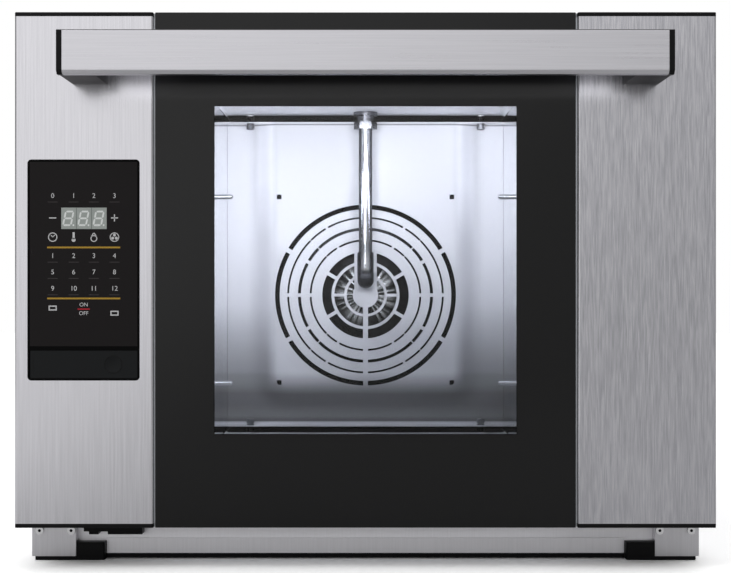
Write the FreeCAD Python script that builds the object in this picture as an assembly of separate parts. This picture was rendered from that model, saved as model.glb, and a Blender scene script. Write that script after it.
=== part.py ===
import FreeCAD, Part
import math
import os

# Countertop convection oven with humidity injection: a boxed chamber with a fan behind a slotted
# panel, and a full-width drop-down front that carries the window, the handle and the controls.
# Millimetres. X to the right, Y to the rear, Z up; the origin is under the middle of the oven.

os.makedirs("parts", exist_ok=True)

# Chamber, its insulation and the casing round them
BASE_H = 37.0
CAV_W = 336.0
CAV_H = 383.4
CAV_D = 515.0
CAV_WALL = 1.0
CAV_CORNER = 4.0
INSUL_LOW = 29.0
INSUL_TOP = 22.6
INSUL_SIDE = 41.0
INSUL_REAR = 25.0
REAR_BAY = 64.0
REAR_STUB = 14.0
CASE_SHEET = 1.0
FRAME_SHEET = 1.5
SEAL_GAP = 5.0
GASKET_W = 9.0
GASKET_PLAY = 0.3
GASKET_MARGIN = 3.5
GASKET_R = 12.0
SIDE_SLOT_ROWS = 8
SIDE_SLOT_RISE = 40.0
SIDE_SLOT_PITCH = 12.0
SIDE_SLOT_REAR = 60.0
SIDE_SLOT_L = 110.0
SIDE_SLOT_H = 5.0
REAR_SLOT_ROWS = 7
REAR_SLOT_L = 100.0
REAR_SLOT_H = 6.0
REAR_SLOT_PITCH = 16.0

# Door, measured from its front plane backwards
DOOR_T = 45.0
DOOR_OVER = 3.0
GLASS_W = 360.0
WING_W = 118.5
CASE_INSET = 4.0
GLASS_T = 5.0
GLASS_SETBACK = 1.0
REVEAL = 1.5
WING_SHEET = 1.2
WING_CORNER = 2.0
CAP_T = 3.6
PAN_SHEET = 1.2
PAN_FRAME_SIDE = 36.5
PAN_FRAME_LOW = 66.0
PAN_FRAME_TOP = 65.0
PAN_OPEN_R = 8.0
PAN_LIP = 11.0
PAN_FLANGE = 15.0
INNER_GLASS_T = 4.0
INNER_GLASS_PLAY = 1.0
CLIP_T = 3.0
CLIP_W = 10.0
CLIP_L = 16.0
CLIP_SPREAD = 190.0
LED_T = 6.0
LED_D = 12.0
LED_MARGIN = 41.0
LED_SETBACK = 14.0

# Handle
HANDLE_REACH = 70.0
HANDLE_DEPTH = 10.0
HANDLE_INSET = 50.3
HANDLE_H = 36.0
HANDLE_DROP = 63.0
HANDLE_WALL = 2.0
HANDLE_BEVEL = 3.0
HANDLE_EDGE_R = 1.2
HANDLE_CAP_T = 4.3
BRACKET_W = 29.0
BRACKET_INSET = 1.0
HANDLE_SCREW_R = 2.5
HANDLE_SCREW_HEAD_R = 4.5
HANDLE_SCREW_HEAD_H = 3.0
HANDLE_SCREW_L = 18.0
HANDLE_SCREW_PLAY = 0.1
HANDLE_SCREW_PITCH = 18.0

# Control unit in the left wing
CTRL_OUTER_MARGIN = 11.0
CTRL_INNER_MARGIN = 11.5
CTRL_H = 189.0
CTRL_DROP = 126.0
CTRL_CORNER = 3.4
CTRL_RIM = 1.8
CTRL_PROUD = 0.5
CTRL_FIT = 0.2
CTRL_FLANGE = 4.0
CTRL_FLANGE_T = 1.8
CTRL_DEPTH = 20.0
FASCIA_T = 2.0
FASCIA_SUNK = 0.2
BACKING_T = 2.3
FLAP_H = 23.6
FLAP_DIVIDER = 3.7
FLAP_PIN_R = 0.6
FLAP_PIN_L = 1.3
FLAP_PIN_END = 0.1
DIMPLE_R = 7.2
DIMPLE_DEPTH = 0.65
DIMPLE_INSET = 22.5
RECESS_D = 8.3
RECESS_FLOOR_T = 2.0
POCKET_WALL = 2.0
DISPLAY_W = 38.8
DISPLAY_H = 18.3
DISPLAY_SHIFT = 0.4
DISPLAY_DROP = 41.2
DISPLAY_D = 8.0
BOARD_T = 1.6
BOARD_MARGIN = 3.0
BOSS_MARGIN = 6.0
BOSS_R = 2.5
SOCKET_W = 14.5
SOCKET_H = 7.0
SOCKET_D = 10.0
SOCKET_PROUD = 6.0
SOCKET_WALL = 0.6
SOCKET_BACK = 1.0
SOCKET_FLANGE = 2.5
SOCKET_FLANGE_T = 1.0
TONGUE_T = 2.0
TONGUE_SIDE = 1.5
TONGUE_SUNK = 0.5

# Hinges
PIVOT_IN = 7.0
PIVOT_RISE = 7.0
HINGE_INSET = 29.5
HINGE_T = 5.0
HINGE_EYE_R = 7.0
HINGE_PIN_R = 3.0
HINGE_ARM_L = 72.0
HINGE_FOOT_W = 21.0
HINGE_FOOT_T = 2.0
LEAF_GAP = 2.3
LEAF_CHEEK = 3.7
LEAF_D = 14.0
LEAF_WEB = 9.0
NOTCH_PLAY = 2.0
FRAME_NOTCH_PLAY = 1.0

# Running clearances
PIN_PLAY = 0.05
SLIDE_PLAY = 0.3

# Base
BASE_SHEET = 1.5
RAIL_SETBACK = 10.0
RAIL_END_GAP = 0.5
RAIL_LOW = 5.0
RAIL_FOLD = 1.0
STRIP_LOW = 1.0
FOOT_W = 62.0
FOOT_D = 70.0
FOOT_H = 16.0
FOOT_INSET = 2.0
FOOT_CORNER = 2.0
SKIRT_GAP = 5.0
PLATE_W = 39.0
PLATE_T = 2.0
PLATE_LOW = 4.0
PLATE_RETURN = 1.2
PLATE_SCREW_DROP = 10.0
PLATE_SCREW_INSET = 7.0
PLATE_SCREW_INNER = 4.0
PLATE_SCREW_R = 1.6
PLATE_SCREW_PLAY = 0.1
PLATE_SCREW_HEAD_R = 3.5
PLATE_SCREW_HEAD_H = 2.0
PLATE_SCREW_KEY = 2.5
PLATE_SCREW_KEY_D = 1.2
PLATE_SCREW_END = 2.0
DUCT_GAP = 7.0
DUCT_FORWARD = 13.0
DUCT_LOW = 12.0
DUCT_HIGH = 9.5
DUCT_STEPS = (4.6, 8.6, 8.0, 30.8)

# Fan panel with its ring slots
PANEL_SIDE_GAP = 0.6
PANEL_LOW_GAP = 7.4
PANEL_TOP_GAP = 8.4
PANEL_SHEET = 1.0
PANEL_SPACE = 50.0
PANEL_RAISE = 12.0
FIELD_HALF = 112.5
FIELD_DOWN = 115.0
FIELD_UP = 270.0
FIELD_SLOPE = 22.5
FIELD_CORNER = 22.0
FIELD_FOLD_R = 36.0
LIP_D = 13.0
SQUARE_HOLE = 5.7
SQUARE_X = 104.4
SQUARE_DOWN = 105.7
SQUARE_UP = 118.7
RING_1 = (103.7, 109.4)
RING_2 = (92.3, 94.6)
RING_3 = (78.0, 81.7)
RING_4 = (65.1, 67.4)
RING_5 = (41.1, 52.3)
RING_6 = (25.9, 37.7)
RING_7 = (15.2, 22.9)
WEB_HAIR = 1.5
WEB_THIN = 3.4
WEB_SLIM = 4.2
WEB_MID = 5.5
WEB_FOOT = 6.0
WEB_TOP = 14.0
WEB_PIPE = 27.0
FIX_INSET = 27.9
FIX_HEAD_R = 5.0
FIX_HEAD_H = 8.0
FIX_R = 2.5
FIX_PLAY = 0.1
FIX_HOLE_PLAY = 0.2
FIX_END_GAP = 0.5
FIX_BOSS_R = 5.0

# Fan, motor and heater
FAN_RISE = 166.0
FAN_R = 100.0
FAN_BLADES = 14
FAN_BLADE_T = 1.5
FAN_BLADE_IN = 32.0
FAN_BLADE_END = 1.0
FAN_DEPTH = 26.0
FAN_BACK_T = 1.5
FAN_BACK_GAP = 13.5
FAN_HUB_R = 15.0
FAN_HUB_SUNK = 4.0
FAN_RING_W = 22.0
SHAFT_R = 6.0
SHAFT_GAP = 3.0
SHAFT_SUNK = 1.0
SHAFT_END_GAP = 1.0
NUT_FLATS = 19.0
NUT_H = 7.5
SEAL_R = 16.0
SEAL_T = 4.0
SEAL_ROOM = 2.0
SEAL_PLATE_GAP = 4.0
MOTOR_R = 45.0
MOTOR_L = 42.0
MOTOR_BELL_R = 30.0
MOTOR_BELL_L = 10.0
MOTOR_END_WALL = 3.0
MOTOR_PLATE = 170.0
MOTOR_PLATE_T = 2.0
STANDOFF_R = 6.0
STANDOFF_AT = 70.0
ELEMENT_R = 120.0
ELEMENT_ROD = 3.5
ELEMENT_LEG = 2.8
ELEMENT_LEG_ANGLE = 8.0
ELEMENT_BACK = 25.0
ELEMENT_GAP = 12.0
ELEMENT_FLANGE_R = 8.0
ELEMENT_TAIL = 8.0
FLANGE_T = 2.0
WOOL_PLAY = 0.5

# Steam pipe and water inlet
PIPE_R = 8.0
PIPE_BORE = 6.5
PIPE_FIT = 0.1
PIPE_FORWARD = 28.0
PIPE_RUN_RISE = 11.6
PIPE_BEND = 12.0
PIPE_TAIL = 20.0
PIPE_START = 1.0
PIPE_CHANNEL = 1.0
SLEEVE_R = 9.75
SLEEVE_UP = 18.0
SLEEVE_L = 33.0
SLEEVE_BEND = 14.0
SLEEVE_END = 1.5
PIPE_NUT_FLATS = 24.0
PIPE_NUT_H = 8.4
PIPE_WASHER_R = 14.3
PIPE_WASHER_T = 4.4
PIPE_COLLAR_T = 2.5
PIPE_COLLAR_H = 7.5
VALVE_OUT = 25.0
VALVE_DROP = 160.4
VALVE_W = 30.0
VALVE_H = 25.0
VALVE_D = 40.0
COIL_W = 40.0
COIL_H = 35.0
COIL_FRONT = 2.0
COIL_REAR = 4.0
INLET_RISE = 12.0
PORT_IN = 14.0
PORT_L = 25.0
THREAD_R = 13.2
THREAD_BORE = 8.0
THREAD_BORE_IN = 2.0
HOSE_WALL = 1.9
HOSE_BEND = 14.0
HOSE_LAP = 12.0
HOSE_GAP = 3.0

# Rack pins, vent, supply and electronics
RACK_PIN_R = 3.0
RACK_PIN_L = 12.0
RACK_PIN_TIP = 2.6
RACK_PIN_LOW = 62.5
RACK_PIN_TOP = 101.4
RACK_PIN_FRONT = 60.0
RACK_PIN_REAR = 93.0
VENT_R = 16.0
VENT_WALL = 1.5
VENT_INSET = 38.0
SPIGOT_STEP = 0.5
SPIGOT_START = 1.0
VENT_DROP = 40.4
PROBE_INSET = 18.0
PROBE_DROP = 50.4
PROBE_R = 2.0
PROBE_FLANGE_R = 6.0
PROBE_TAIL = 15.0
PROBE_GAP = 5.0
THERMOSTAT = 30.0
THERMOSTAT_D = 20.0
THERMOSTAT_AT = 50.0
GLAND_X = -180.0
GLAND_RISE = 53.0
GLAND_BORE = 6.5
GLAND_THREAD_R = 10.0
GLAND_THREAD_L = 9.0
GLAND_FLATS = 24.0
GLAND_LOCKNUT = 5.0
GLAND_HEX = 6.0
GLAND_DOME_R = 11.0
TERMINAL_L = 70.0
TERMINAL_D = 28.0
TERMINAL_H = 24.0
TERMINAL_GAP = 8.0
TERMINAL_WAYS = 5
TERMINAL_PITCH = 13.0
TERMINAL_WELL_R = 3.5
TERMINAL_WELL_D = 8.0
TRAY_OUT = 15.0
TRAY_BACK = 150.0
TRAY_L = 280.0
TRAY_H = 203.0
TRAY_FOOT = 25.0
TRAY_SHEET = 1.5
TRAY_SPACER_R = 3.0
TRAY_SPACER_L = 7.5
POWER_MARGIN = 10.0
POWER_RISE = 25.0
POWER_H = 165.0
SPACER_INSET = 10.0
RELAYS = 4
RELAY_FIRST = 30.0
RELAY_PITCH = 40.0
RELAY_L = 30.0
RELAY_H = 35.0
RELAY_D = 15.4
RELAY_DROP = 25.0
COIL_BLOCK = 50.0
COIL_BLOCK_D = 28.4
COIL_BLOCK_RISE = 35.0
COIL_BLOCK_REAR = 30.0
COOL_MARGIN = 2.5
COOL_RISE = 63.0
COOL_T = 25.0
COOL_CORNER = 5.0
COOL_RIM = 2.0
COOL_TIP_GAP = 2.0
COOL_HUB_R = 15.0
COOL_AXLE_R = 3.0
COOL_AXLE_IN = 6.0
COOL_ROTOR_FRONT = 2.0
COOL_ROTOR_GAP = 1.0
COOL_ROOT = 1.0
COOL_SPIDER_T = 3.0
COOL_SPIDER_W = 4.0
COOL_BLADES = 7
COOL_BLADE_W = 16.0
COOL_BLADE_T = 1.5
COOL_BLADE_PITCH = 40.0
COOL_SLOT_ROWS = 6
COOL_SLOT_PITCH = 12.0
COOL_SLOT_MARGIN = 8.0

# Derived planes
CASE_DEPTH = CAV_D + CAV_WALL + INSUL_REAR + REAR_BAY
REAR_REACH = DOOR_T + SEAL_GAP + CASE_DEPTH + REAR_STUB
YF = (HANDLE_REACH - REAR_REACH) / 2.0
Y_DOOR_BACK = YF + DOOR_T
Y_BODY = Y_DOOR_BACK + SEAL_GAP
Y_REAR = Y_BODY + CASE_DEPTH
Y_END = Y_REAR + REAR_STUB
Y_CAV_BACK = Y_BODY + CAV_D
Y_WALL_BACK = Y_CAV_BACK + CAV_WALL
Y_INSUL_BACK = Y_WALL_BACK + INSUL_REAR
Y_RAIL = Y_BODY + RAIL_SETBACK
Y_FIELD = Y_CAV_BACK - PANEL_SPACE
Y_BORDER = Y_FIELD + PANEL_RAISE
Y_PIPE = Y_FIELD - PIPE_FORWARD
Z_CASE = BASE_H
CAV_LOW = BASE_H + INSUL_LOW + CAV_WALL
CAV_HIGH = CAV_LOW + CAV_H
Z_COVER = CAV_HIGH + CAV_WALL + INSUL_TOP
Z_CASE_TOP = Z_COVER + CASE_SHEET
DOOR_BOTTOM = BASE_H
Z_DOOR_TOP = Z_CASE_TOP + DOOR_OVER
WING_IN = GLASS_W / 2.0 + REVEAL
WING_OUT = WING_IN + WING_W
CASE_X = WING_OUT - CASE_INSET
CAV_X = CAV_W / 2.0
INSUL_X = CAV_X + CAV_WALL + INSUL_SIDE
HINGE_X = WING_OUT - HINGE_INSET
HANDLE_HALF = WING_OUT - HANDLE_INSET
HANDLE_BOTTOM = Z_DOOR_TOP - HANDLE_DROP
CTRL_BOTTOM = Z_DOOR_TOP - CTRL_DROP - CTRL_H
PAN_OPEN_HALF = WING_IN - PAN_FRAME_SIDE
PAN_OPEN_LOW = DOOR_BOTTOM + PAN_FRAME_LOW
PAN_OPEN_HIGH = Z_DOOR_TOP - PAN_FRAME_TOP
PIVOT_Y = Y_DOOR_BACK - PIVOT_IN
PIVOT_Z = DOOR_BOTTOM + PIVOT_RISE
LEAF_SLOT = HINGE_T + 2 * LEAF_GAP
LEAF_W = LEAF_SLOT + 2 * LEAF_CHEEK
PANEL_HALF = CAV_X - PANEL_SIDE_GAP
PANEL_LOW = CAV_LOW + PANEL_LOW_GAP
PANEL_HIGH = CAV_HIGH - PANEL_TOP_GAP
FIX_X = PANEL_HALF - FIX_INSET
FAN_Z = CAV_LOW + FAN_RISE
FIELD_LOW = FAN_Z - FIELD_DOWN
FIELD_HIGH = FAN_Z + FIELD_UP
SLEEVE_Z = FAN_Z + SLEEVE_UP
SLEEVE_TOP = SLEEVE_Z + SLEEVE_L
PIPE_RUN_Z = CAV_HIGH + CAV_WALL + PIPE_RUN_RISE
VENT_X = CAV_X - VENT_INSET
VENT_Z = CAV_HIGH - VENT_DROP
VENT_PIPE_R = VENT_R - SPIGOT_STEP
PROBE_X = PROBE_INSET - CAV_X
PROBE_Z = CAV_HIGH - PROBE_DROP
INLET_Z = CAV_HIGH - VALVE_DROP + INLET_RISE
VALVE_X = -INSUL_X - VALVE_OUT
VALVE_Z = CAV_HIGH - VALVE_DROP
GLAND_Z = BASE_H + GLAND_RISE
COOL_SIZE = CASE_X - CASE_SHEET - INSUL_X - 2 * COOL_MARGIN
COOL_X = INSUL_X + COOL_MARGIN + COOL_SIZE / 2.0
COOL_Z = BASE_H + COOL_RISE
COOL_BORE_R = COOL_SIZE / 2.0 - COOL_RIM
COOL_BLADE_R = COOL_BORE_R - COOL_TIP_GAP


def vec(x, y, z):
    return FreeCAD.Vector(x, y, z)


def box(x0, x1, y0, y1, z0, z1):
    return Part.makeBox(x1 - x0, y1 - y0, z1 - z0, vec(x0, y0, z0))


def rod(axis, u, v, r, a0, a1):
    """Round bar along an axis; u and v are the other two coordinates in x, y, z order."""
    if axis == "x":
        return Part.makeCylinder(r, a1 - a0, vec(a0, u, v), vec(1, 0, 0))
    if axis == "y":
        return Part.makeCylinder(r, a1 - a0, vec(u, a0, v), vec(0, 1, 0))
    return Part.makeCylinder(r, a1 - a0, vec(u, v, a0), vec(0, 0, 1))


def ring(axis, u, v, r_out, r_in, a0, a1):
    return rod(axis, u, v, r_out, a0, a1).cut(rod(axis, u, v, r_in, a0 - 1, a1 + 1))


def place(axis, u, v, a):
    if axis == "x":
        return vec(a, u, v)
    if axis == "y":
        return vec(u, a, v)
    return vec(u, v, a)


def prism(axis, points, a0, a1):
    """Straight bar with a polygon section."""
    loop = [place(axis, u, v, a0) for u, v in points]
    loop.append(loop[0])
    face = Part.Face(Part.makePolygon(loop))
    return face.extrude(place(axis, 0, 0, a1 - a0))


def round_bar(axis, u0, u1, v0, v1, r, a0, a1):
    """Straight bar whose section is a rectangle with rounded corners."""
    k = r * (1 - math.sqrt(0.5))
    at = lambda u, v: place(axis, u, v, a0)
    edges = [
        Part.LineSegment(at(u0 + r, v0), at(u1 - r, v0)),
        Part.Arc(at(u1 - r, v0), at(u1 - k, v0 + k), at(u1, v0 + r)),
        Part.LineSegment(at(u1, v0 + r), at(u1, v1 - r)),
        Part.Arc(at(u1, v1 - r), at(u1 - k, v1 - k), at(u1 - r, v1)),
        Part.LineSegment(at(u1 - r, v1), at(u0 + r, v1)),
        Part.Arc(at(u0 + r, v1), at(u0 + k, v1 - k), at(u0, v1 - r)),
        Part.LineSegment(at(u0, v1 - r), at(u0, v0 + r)),
        Part.Arc(at(u0, v0 + r), at(u0 + k, v0 + k), at(u0 + r, v0)),
    ]
    wire = Part.Wire([e.toShape() for e in edges])
    return Part.Face(wire).extrude(place(axis, 0, 0, a1 - a0))


def hexagon(axis, u, v, flats, a0, a1):
    r = flats / math.sqrt(3.0)
    corners = [(u + r * math.cos(math.radians(60 * i)), v + r * math.sin(math.radians(60 * i)))
               for i in range(6)]
    return prism(axis, corners, a0, a1)


def sweep(points, bend, r):
    """Round rod along a bent line with arcs of one bend radius."""
    pts = [vec(*p) for p in points]
    edges = []
    start = pts[0]
    for a, b, c in zip(pts, pts[1:], pts[2:]):
        d_in = (b - a).normalize()
        d_out = (c - b).normalize()
        t0 = b - d_in * bend
        t1 = b + d_out * bend
        mid = b + (d_out - d_in).normalize() * (bend * (math.sqrt(2.0) - 1.0))
        edges.append(Part.LineSegment(start, t0).toShape())
        edges.append(Part.Arc(t0, mid, t1).toShape())
        start = t1
    edges.append(Part.LineSegment(start, pts[-1]).toShape())
    path = Part.Wire(edges)
    section = Part.Wire(Part.makeCircle(r, pts[0], pts[1] - pts[0]))
    return path.makePipeShell([section], True, False)


def fuse(shapes):
    body = shapes[0]
    for other in shapes[1:]:
        body = body.fuse(other)
    return body.removeSplitter()


def cut(body, shapes):
    for other in shapes:
        body = body.cut(other)
    return body


def mirrored(shape):
    return shape.mirror(vec(0, 0, 0), vec(1, 0, 0))


def both_sides(shape):
    return [shape, mirrored(shape)]


def save(name, shapes):
    group = shapes if isinstance(shapes, list) else [shapes]
    solids = [s for g in group for s in g.Solids]
    whole = solids[0] if len(solids) == 1 else Part.makeCompound(solids)
    whole.exportStep("parts/" + name + ".step")
    ok = all(s.isValid() for s in solids)
    print(name, len(solids), "valid" if ok else "BAD", round(whole.Volume / 1000.0, 1))


# Base: folded steel tray under the casing, with a stepped front rail between the feet
foot_in = CASE_X - FOOT_INSET - FOOT_W
rail_end = foot_in - RAIL_END_GAP
y_foot_front = Y_BODY
y_foot_rear = Y_REAR - FOOT_D
seat_top = FOOT_H + BASE_SHEET
base = [
    box(-CASE_X, CASE_X, Y_BODY, Y_REAR, Z_CASE - BASE_SHEET, Z_CASE),
    box(-CASE_X, CASE_X, Y_RAIL, Y_RAIL + BASE_SHEET, FOOT_H, Z_CASE - BASE_SHEET),
    box(-CASE_X, CASE_X, Y_REAR - BASE_SHEET, Y_REAR, FOOT_H, Z_CASE - BASE_SHEET),
    box(-rail_end, rail_end, Y_RAIL - BASE_SHEET, Y_RAIL + BASE_SHEET, FOOT_H,
        FOOT_H + RAIL_FOLD + BASE_SHEET),
    box(-rail_end, rail_end, Y_RAIL - BASE_SHEET, Y_RAIL, RAIL_LOW, FOOT_H),
]
for side in (-1, 1):
    x0, x1 = sorted((side * CASE_X, side * (CASE_X - BASE_SHEET)))
    base.append(box(x0, x1, Y_RAIL, Y_REAR, FOOT_H, Z_CASE - BASE_SHEET))
    base.append(box(x0, x1, y_foot_front + FOOT_D + SKIRT_GAP, y_foot_rear - SKIRT_GAP, RAIL_LOW, FOOT_H))
    x0, x1 = sorted((side * CASE_X, side * foot_in))
    base.append(box(x0, x1, Y_RAIL, y_foot_front + FOOT_D, FOOT_H, seat_top))
    base.append(box(x0, x1, y_foot_rear, Y_REAR, FOOT_H, seat_top))
screw_x = (CASE_X - PLATE_SCREW_INSET, CASE_X - PLATE_W + PLATE_SCREW_INNER)
screw_z = Z_CASE - PLATE_SCREW_DROP
y_plate = Y_BODY - PLATE_T
screw_holes = [rod("y", s * x, screw_z, PLATE_SCREW_R + PLATE_SCREW_PLAY, y_plate - 1, Y_RAIL + BASE_SHEET + 1)
               for x in screw_x for s in (-1, 1)]
save("base_frame", cut(fuse(base), screw_holes))

# Black guard strip under the front rail
save("base_edge_strip", box(-rail_end, rail_end, Y_RAIL - BASE_SHEET, Y_RAIL, STRIP_LOW, RAIL_LOW))

# Feet: four black blocks under the corners
foot_x0 = -CASE_X + FOOT_INSET
foot_x1 = foot_x0 + FOOT_W
front_foot = round_bar("z", foot_x0, foot_x1, y_foot_front, y_foot_front + FOOT_D, FOOT_CORNER, 0, FOOT_H)
rear_foot = round_bar("z", foot_x0, foot_x1, y_foot_rear, Y_REAR, FOOT_CORNER, 0, FOOT_H)
save("feet", both_sides(front_foot) + both_sides(rear_foot))

# End plates: folded steel covers in front of the base corners, two screws each
plate_in = CASE_X - PLATE_W
plate_high = Z_CASE - BASE_SHEET
end_plate = fuse([
    box(plate_in, CASE_X, y_plate, Y_BODY, PLATE_LOW, plate_high),
    box(plate_in, plate_in + PLATE_RETURN, Y_BODY, Y_RAIL, seat_top, plate_high),
    box(CASE_X - PLATE_RETURN, CASE_X, Y_BODY, Y_RAIL, seat_top, plate_high),
])
end_plate = cut(end_plate, screw_holes)
save("base_end_plates", both_sides(end_plate))
screws = []
for x in screw_x:
    y_head = y_plate - PLATE_SCREW_HEAD_H
    head = rod("y", x, screw_z, PLATE_SCREW_HEAD_R, y_head, y_plate)
    shank = rod("y", x, screw_z, PLATE_SCREW_R, y_plate, Y_RAIL + BASE_SHEET + PLATE_SCREW_END)
    key = hexagon("y", x, screw_z, PLATE_SCREW_KEY, y_head - 1, y_head + PLATE_SCREW_KEY_D)
    screws += both_sides(fuse([head, shank]).cut(key))
save("end_plate_screws", screws)

# Cable duct: stepped black moulding on the rail under the left wing, where the door wiring leaves the base
y_duct = Y_RAIL - DUCT_FORWARD
duct_top = Z_CASE - BASE_SHEET
duct_x = DUCT_GAP - plate_in
duct = []
for width, drop in zip(DUCT_STEPS, (DUCT_HIGH, DUCT_LOW, DUCT_HIGH, DUCT_LOW)):
    duct.append(box(duct_x, duct_x + width, y_duct, Y_RAIL, duct_top - drop, duct_top))
    duct_x += width
save("cable_duct", fuse(duct))

# Hinge brackets: flat steel arms standing on the base and reaching forward to the pivot
arm_z1 = PIVOT_Z + HINGE_EYE_R
arm_y1 = PIVOT_Y + HINGE_ARM_L
arm_x0 = HINGE_X - HINGE_T / 2.0
arm_x1 = HINGE_X + HINGE_T / 2.0
arm = fuse([
    box(arm_x0, arm_x1, PIVOT_Y, arm_y1, Z_CASE, arm_z1),
    rod("x", PIVOT_Y, PIVOT_Z, HINGE_EYE_R, arm_x0, arm_x1),
    box(HINGE_X - HINGE_FOOT_W / 2.0, HINGE_X + HINGE_FOOT_W / 2.0, Y_RAIL, arm_y1, Z_CASE, Z_CASE + HINGE_FOOT_T),
])
arm = arm.cut(rod("x", PIVOT_Y, PIVOT_Z, HINGE_PIN_R + PIN_PLAY, arm_x0 - 1, arm_x1 + 1))
save("hinge_brackets", both_sides(arm))

# Front frame: steel plate round the chamber mouth, notched for the hinge arms
cav_outer = (-CAV_X - CAV_WALL, CAV_X + CAV_WALL, CAV_LOW - CAV_WALL, CAV_HIGH + CAV_WALL, CAV_CORNER + CAV_WALL)
frame = box(-CASE_X, CASE_X, Y_BODY, Y_BODY + FRAME_SHEET, Z_CASE, Z_CASE_TOP)
frame = frame.cut(round_bar("y", *cav_outer, Y_BODY - 1, Y_BODY + FRAME_SHEET + 1))
slot = box(arm_x0 - FRAME_NOTCH_PLAY, arm_x1 + FRAME_NOTCH_PLAY, Y_BODY - 1, Y_BODY + FRAME_SHEET + 1,
           Z_CASE - 1, arm_z1 + FRAME_NOTCH_PLAY)
frame = cut(frame, both_sides(slot))
save("front_frame", frame)

# Casing: two side panels, a top cover and a slotted rear cover
y_case0 = Y_BODY + FRAME_SHEET
y_case1 = Y_REAR - FRAME_SHEET
side_panel = box(-CASE_X, -CASE_X + CASE_SHEET, y_case0, y_case1, Z_CASE, Z_COVER)
louvres = []
for row in range(SIDE_SLOT_ROWS):
    z = Z_CASE + SIDE_SLOT_RISE + SIDE_SLOT_PITCH * row
    y = y_case1 - SIDE_SLOT_REAR
    louvres.append(box(-CASE_X - 1, -CASE_X + CASE_SHEET + 1, y - SIDE_SLOT_L, y, z, z + SIDE_SLOT_H))
side_panel = cut(side_panel, louvres)
save("side_panel_left", side_panel)
save("side_panel_right", mirrored(side_panel))
save("top_cover", box(-CASE_X, CASE_X, y_case0, y_case1, Z_COVER, Z_CASE_TOP))
rear = box(-CASE_X, CASE_X, y_case1, Y_REAR, Z_CASE, Z_CASE_TOP)
vents = []
for x, z, half, rows, pitch in (
        (0, FAN_Z, REAR_SLOT_L / 2.0, REAR_SLOT_ROWS, REAR_SLOT_PITCH),
        (COOL_X, COOL_Z, COOL_SIZE / 2.0 - COOL_SLOT_MARGIN, COOL_SLOT_ROWS, COOL_SLOT_PITCH)):
    for row in range(rows):
        low = z + pitch * (row - (rows - 1) / 2.0) - REAR_SLOT_H / 2.0
        vents.append(box(x - half, x + half, y_case1 - 1, Y_REAR + 1, low, low + REAR_SLOT_H))
for x, z, r in ((VENT_X, VENT_Z, VENT_R), (VALVE_X, INLET_Z, THREAD_R), (GLAND_X, GLAND_Z, GLAND_THREAD_R)):
    vents.append(rod("y", x, z, r + SLIDE_PLAY, y_case1 - 1, Y_REAR + 1))
save("rear_cover", cut(rear, vents))

# Chamber: welded steel box open at the front, with bosses for the panel screws
chamber = round_bar("y", *cav_outer, Y_BODY, Y_WALL_BACK)
chamber = chamber.cut(round_bar("y", -CAV_X, CAV_X, CAV_LOW, CAV_HIGH, CAV_CORNER, Y_BODY - 1, Y_CAV_BACK))
y_fix = Y_BORDER - LIP_D / 2.0
for x in (-FIX_X, FIX_X):
    chamber = chamber.fuse(ring("z", x, y_fix, FIX_BOSS_R, FIX_R + FIX_PLAY, PANEL_HIGH, CAV_HIGH))
    chamber = chamber.fuse(ring("z", x, y_fix, FIX_BOSS_R, FIX_R + FIX_PLAY, CAV_LOW, PANEL_LOW))
leg_angle = math.radians(ELEMENT_LEG_ANGLE)
leg_at = [(s * ELEMENT_R * math.sin(leg_angle), FAN_Z - ELEMENT_R * math.cos(leg_angle)) for s in (-1, 1)]
wall_holes = [rod("y", 0, FAN_Z, SHAFT_R + SHAFT_GAP, Y_CAV_BACK - 1, Y_WALL_BACK + 1)]
wall_holes += [rod("y", x, z, ELEMENT_LEG + SLIDE_PLAY, Y_CAV_BACK - 1, Y_WALL_BACK + 1) for x, z in leg_at]
wall_holes.append(rod("y", PROBE_X, PROBE_Z, PROBE_R + SLIDE_PLAY, Y_CAV_BACK - 1, Y_WALL_BACK + 1))
wall_holes.append(rod("y", VENT_X, VENT_Z, VENT_PIPE_R + PIN_PLAY, Y_CAV_BACK - 1, Y_WALL_BACK + 1))
wall_holes.append(rod("z", 0, Y_PIPE, PIPE_R + SLIDE_PLAY, CAV_HIGH - 1, CAV_HIGH + CAV_WALL + 1))
save("cavity_box", cut(chamber, wall_holes).removeSplitter())

# Rack pins: round studs on both walls, on which the tray supports hang
pins = []
for z in (CAV_LOW + RACK_PIN_LOW, CAV_HIGH - RACK_PIN_TOP):
    for d in (RACK_PIN_FRONT, CAV_D - RACK_PIN_REAR):
        pin = rod("x", Y_BODY + d, z, RACK_PIN_R, CAV_X - RACK_PIN_L, CAV_X)
        tip = [e for e in pin.Edges if abs(e.CenterOfMass.x - (CAV_X - RACK_PIN_L)) < 0.01]
        pin = pin.makeFillet(RACK_PIN_TIP, tip)
        pins += both_sides(pin)
save("rack_pins", pins)

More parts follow.
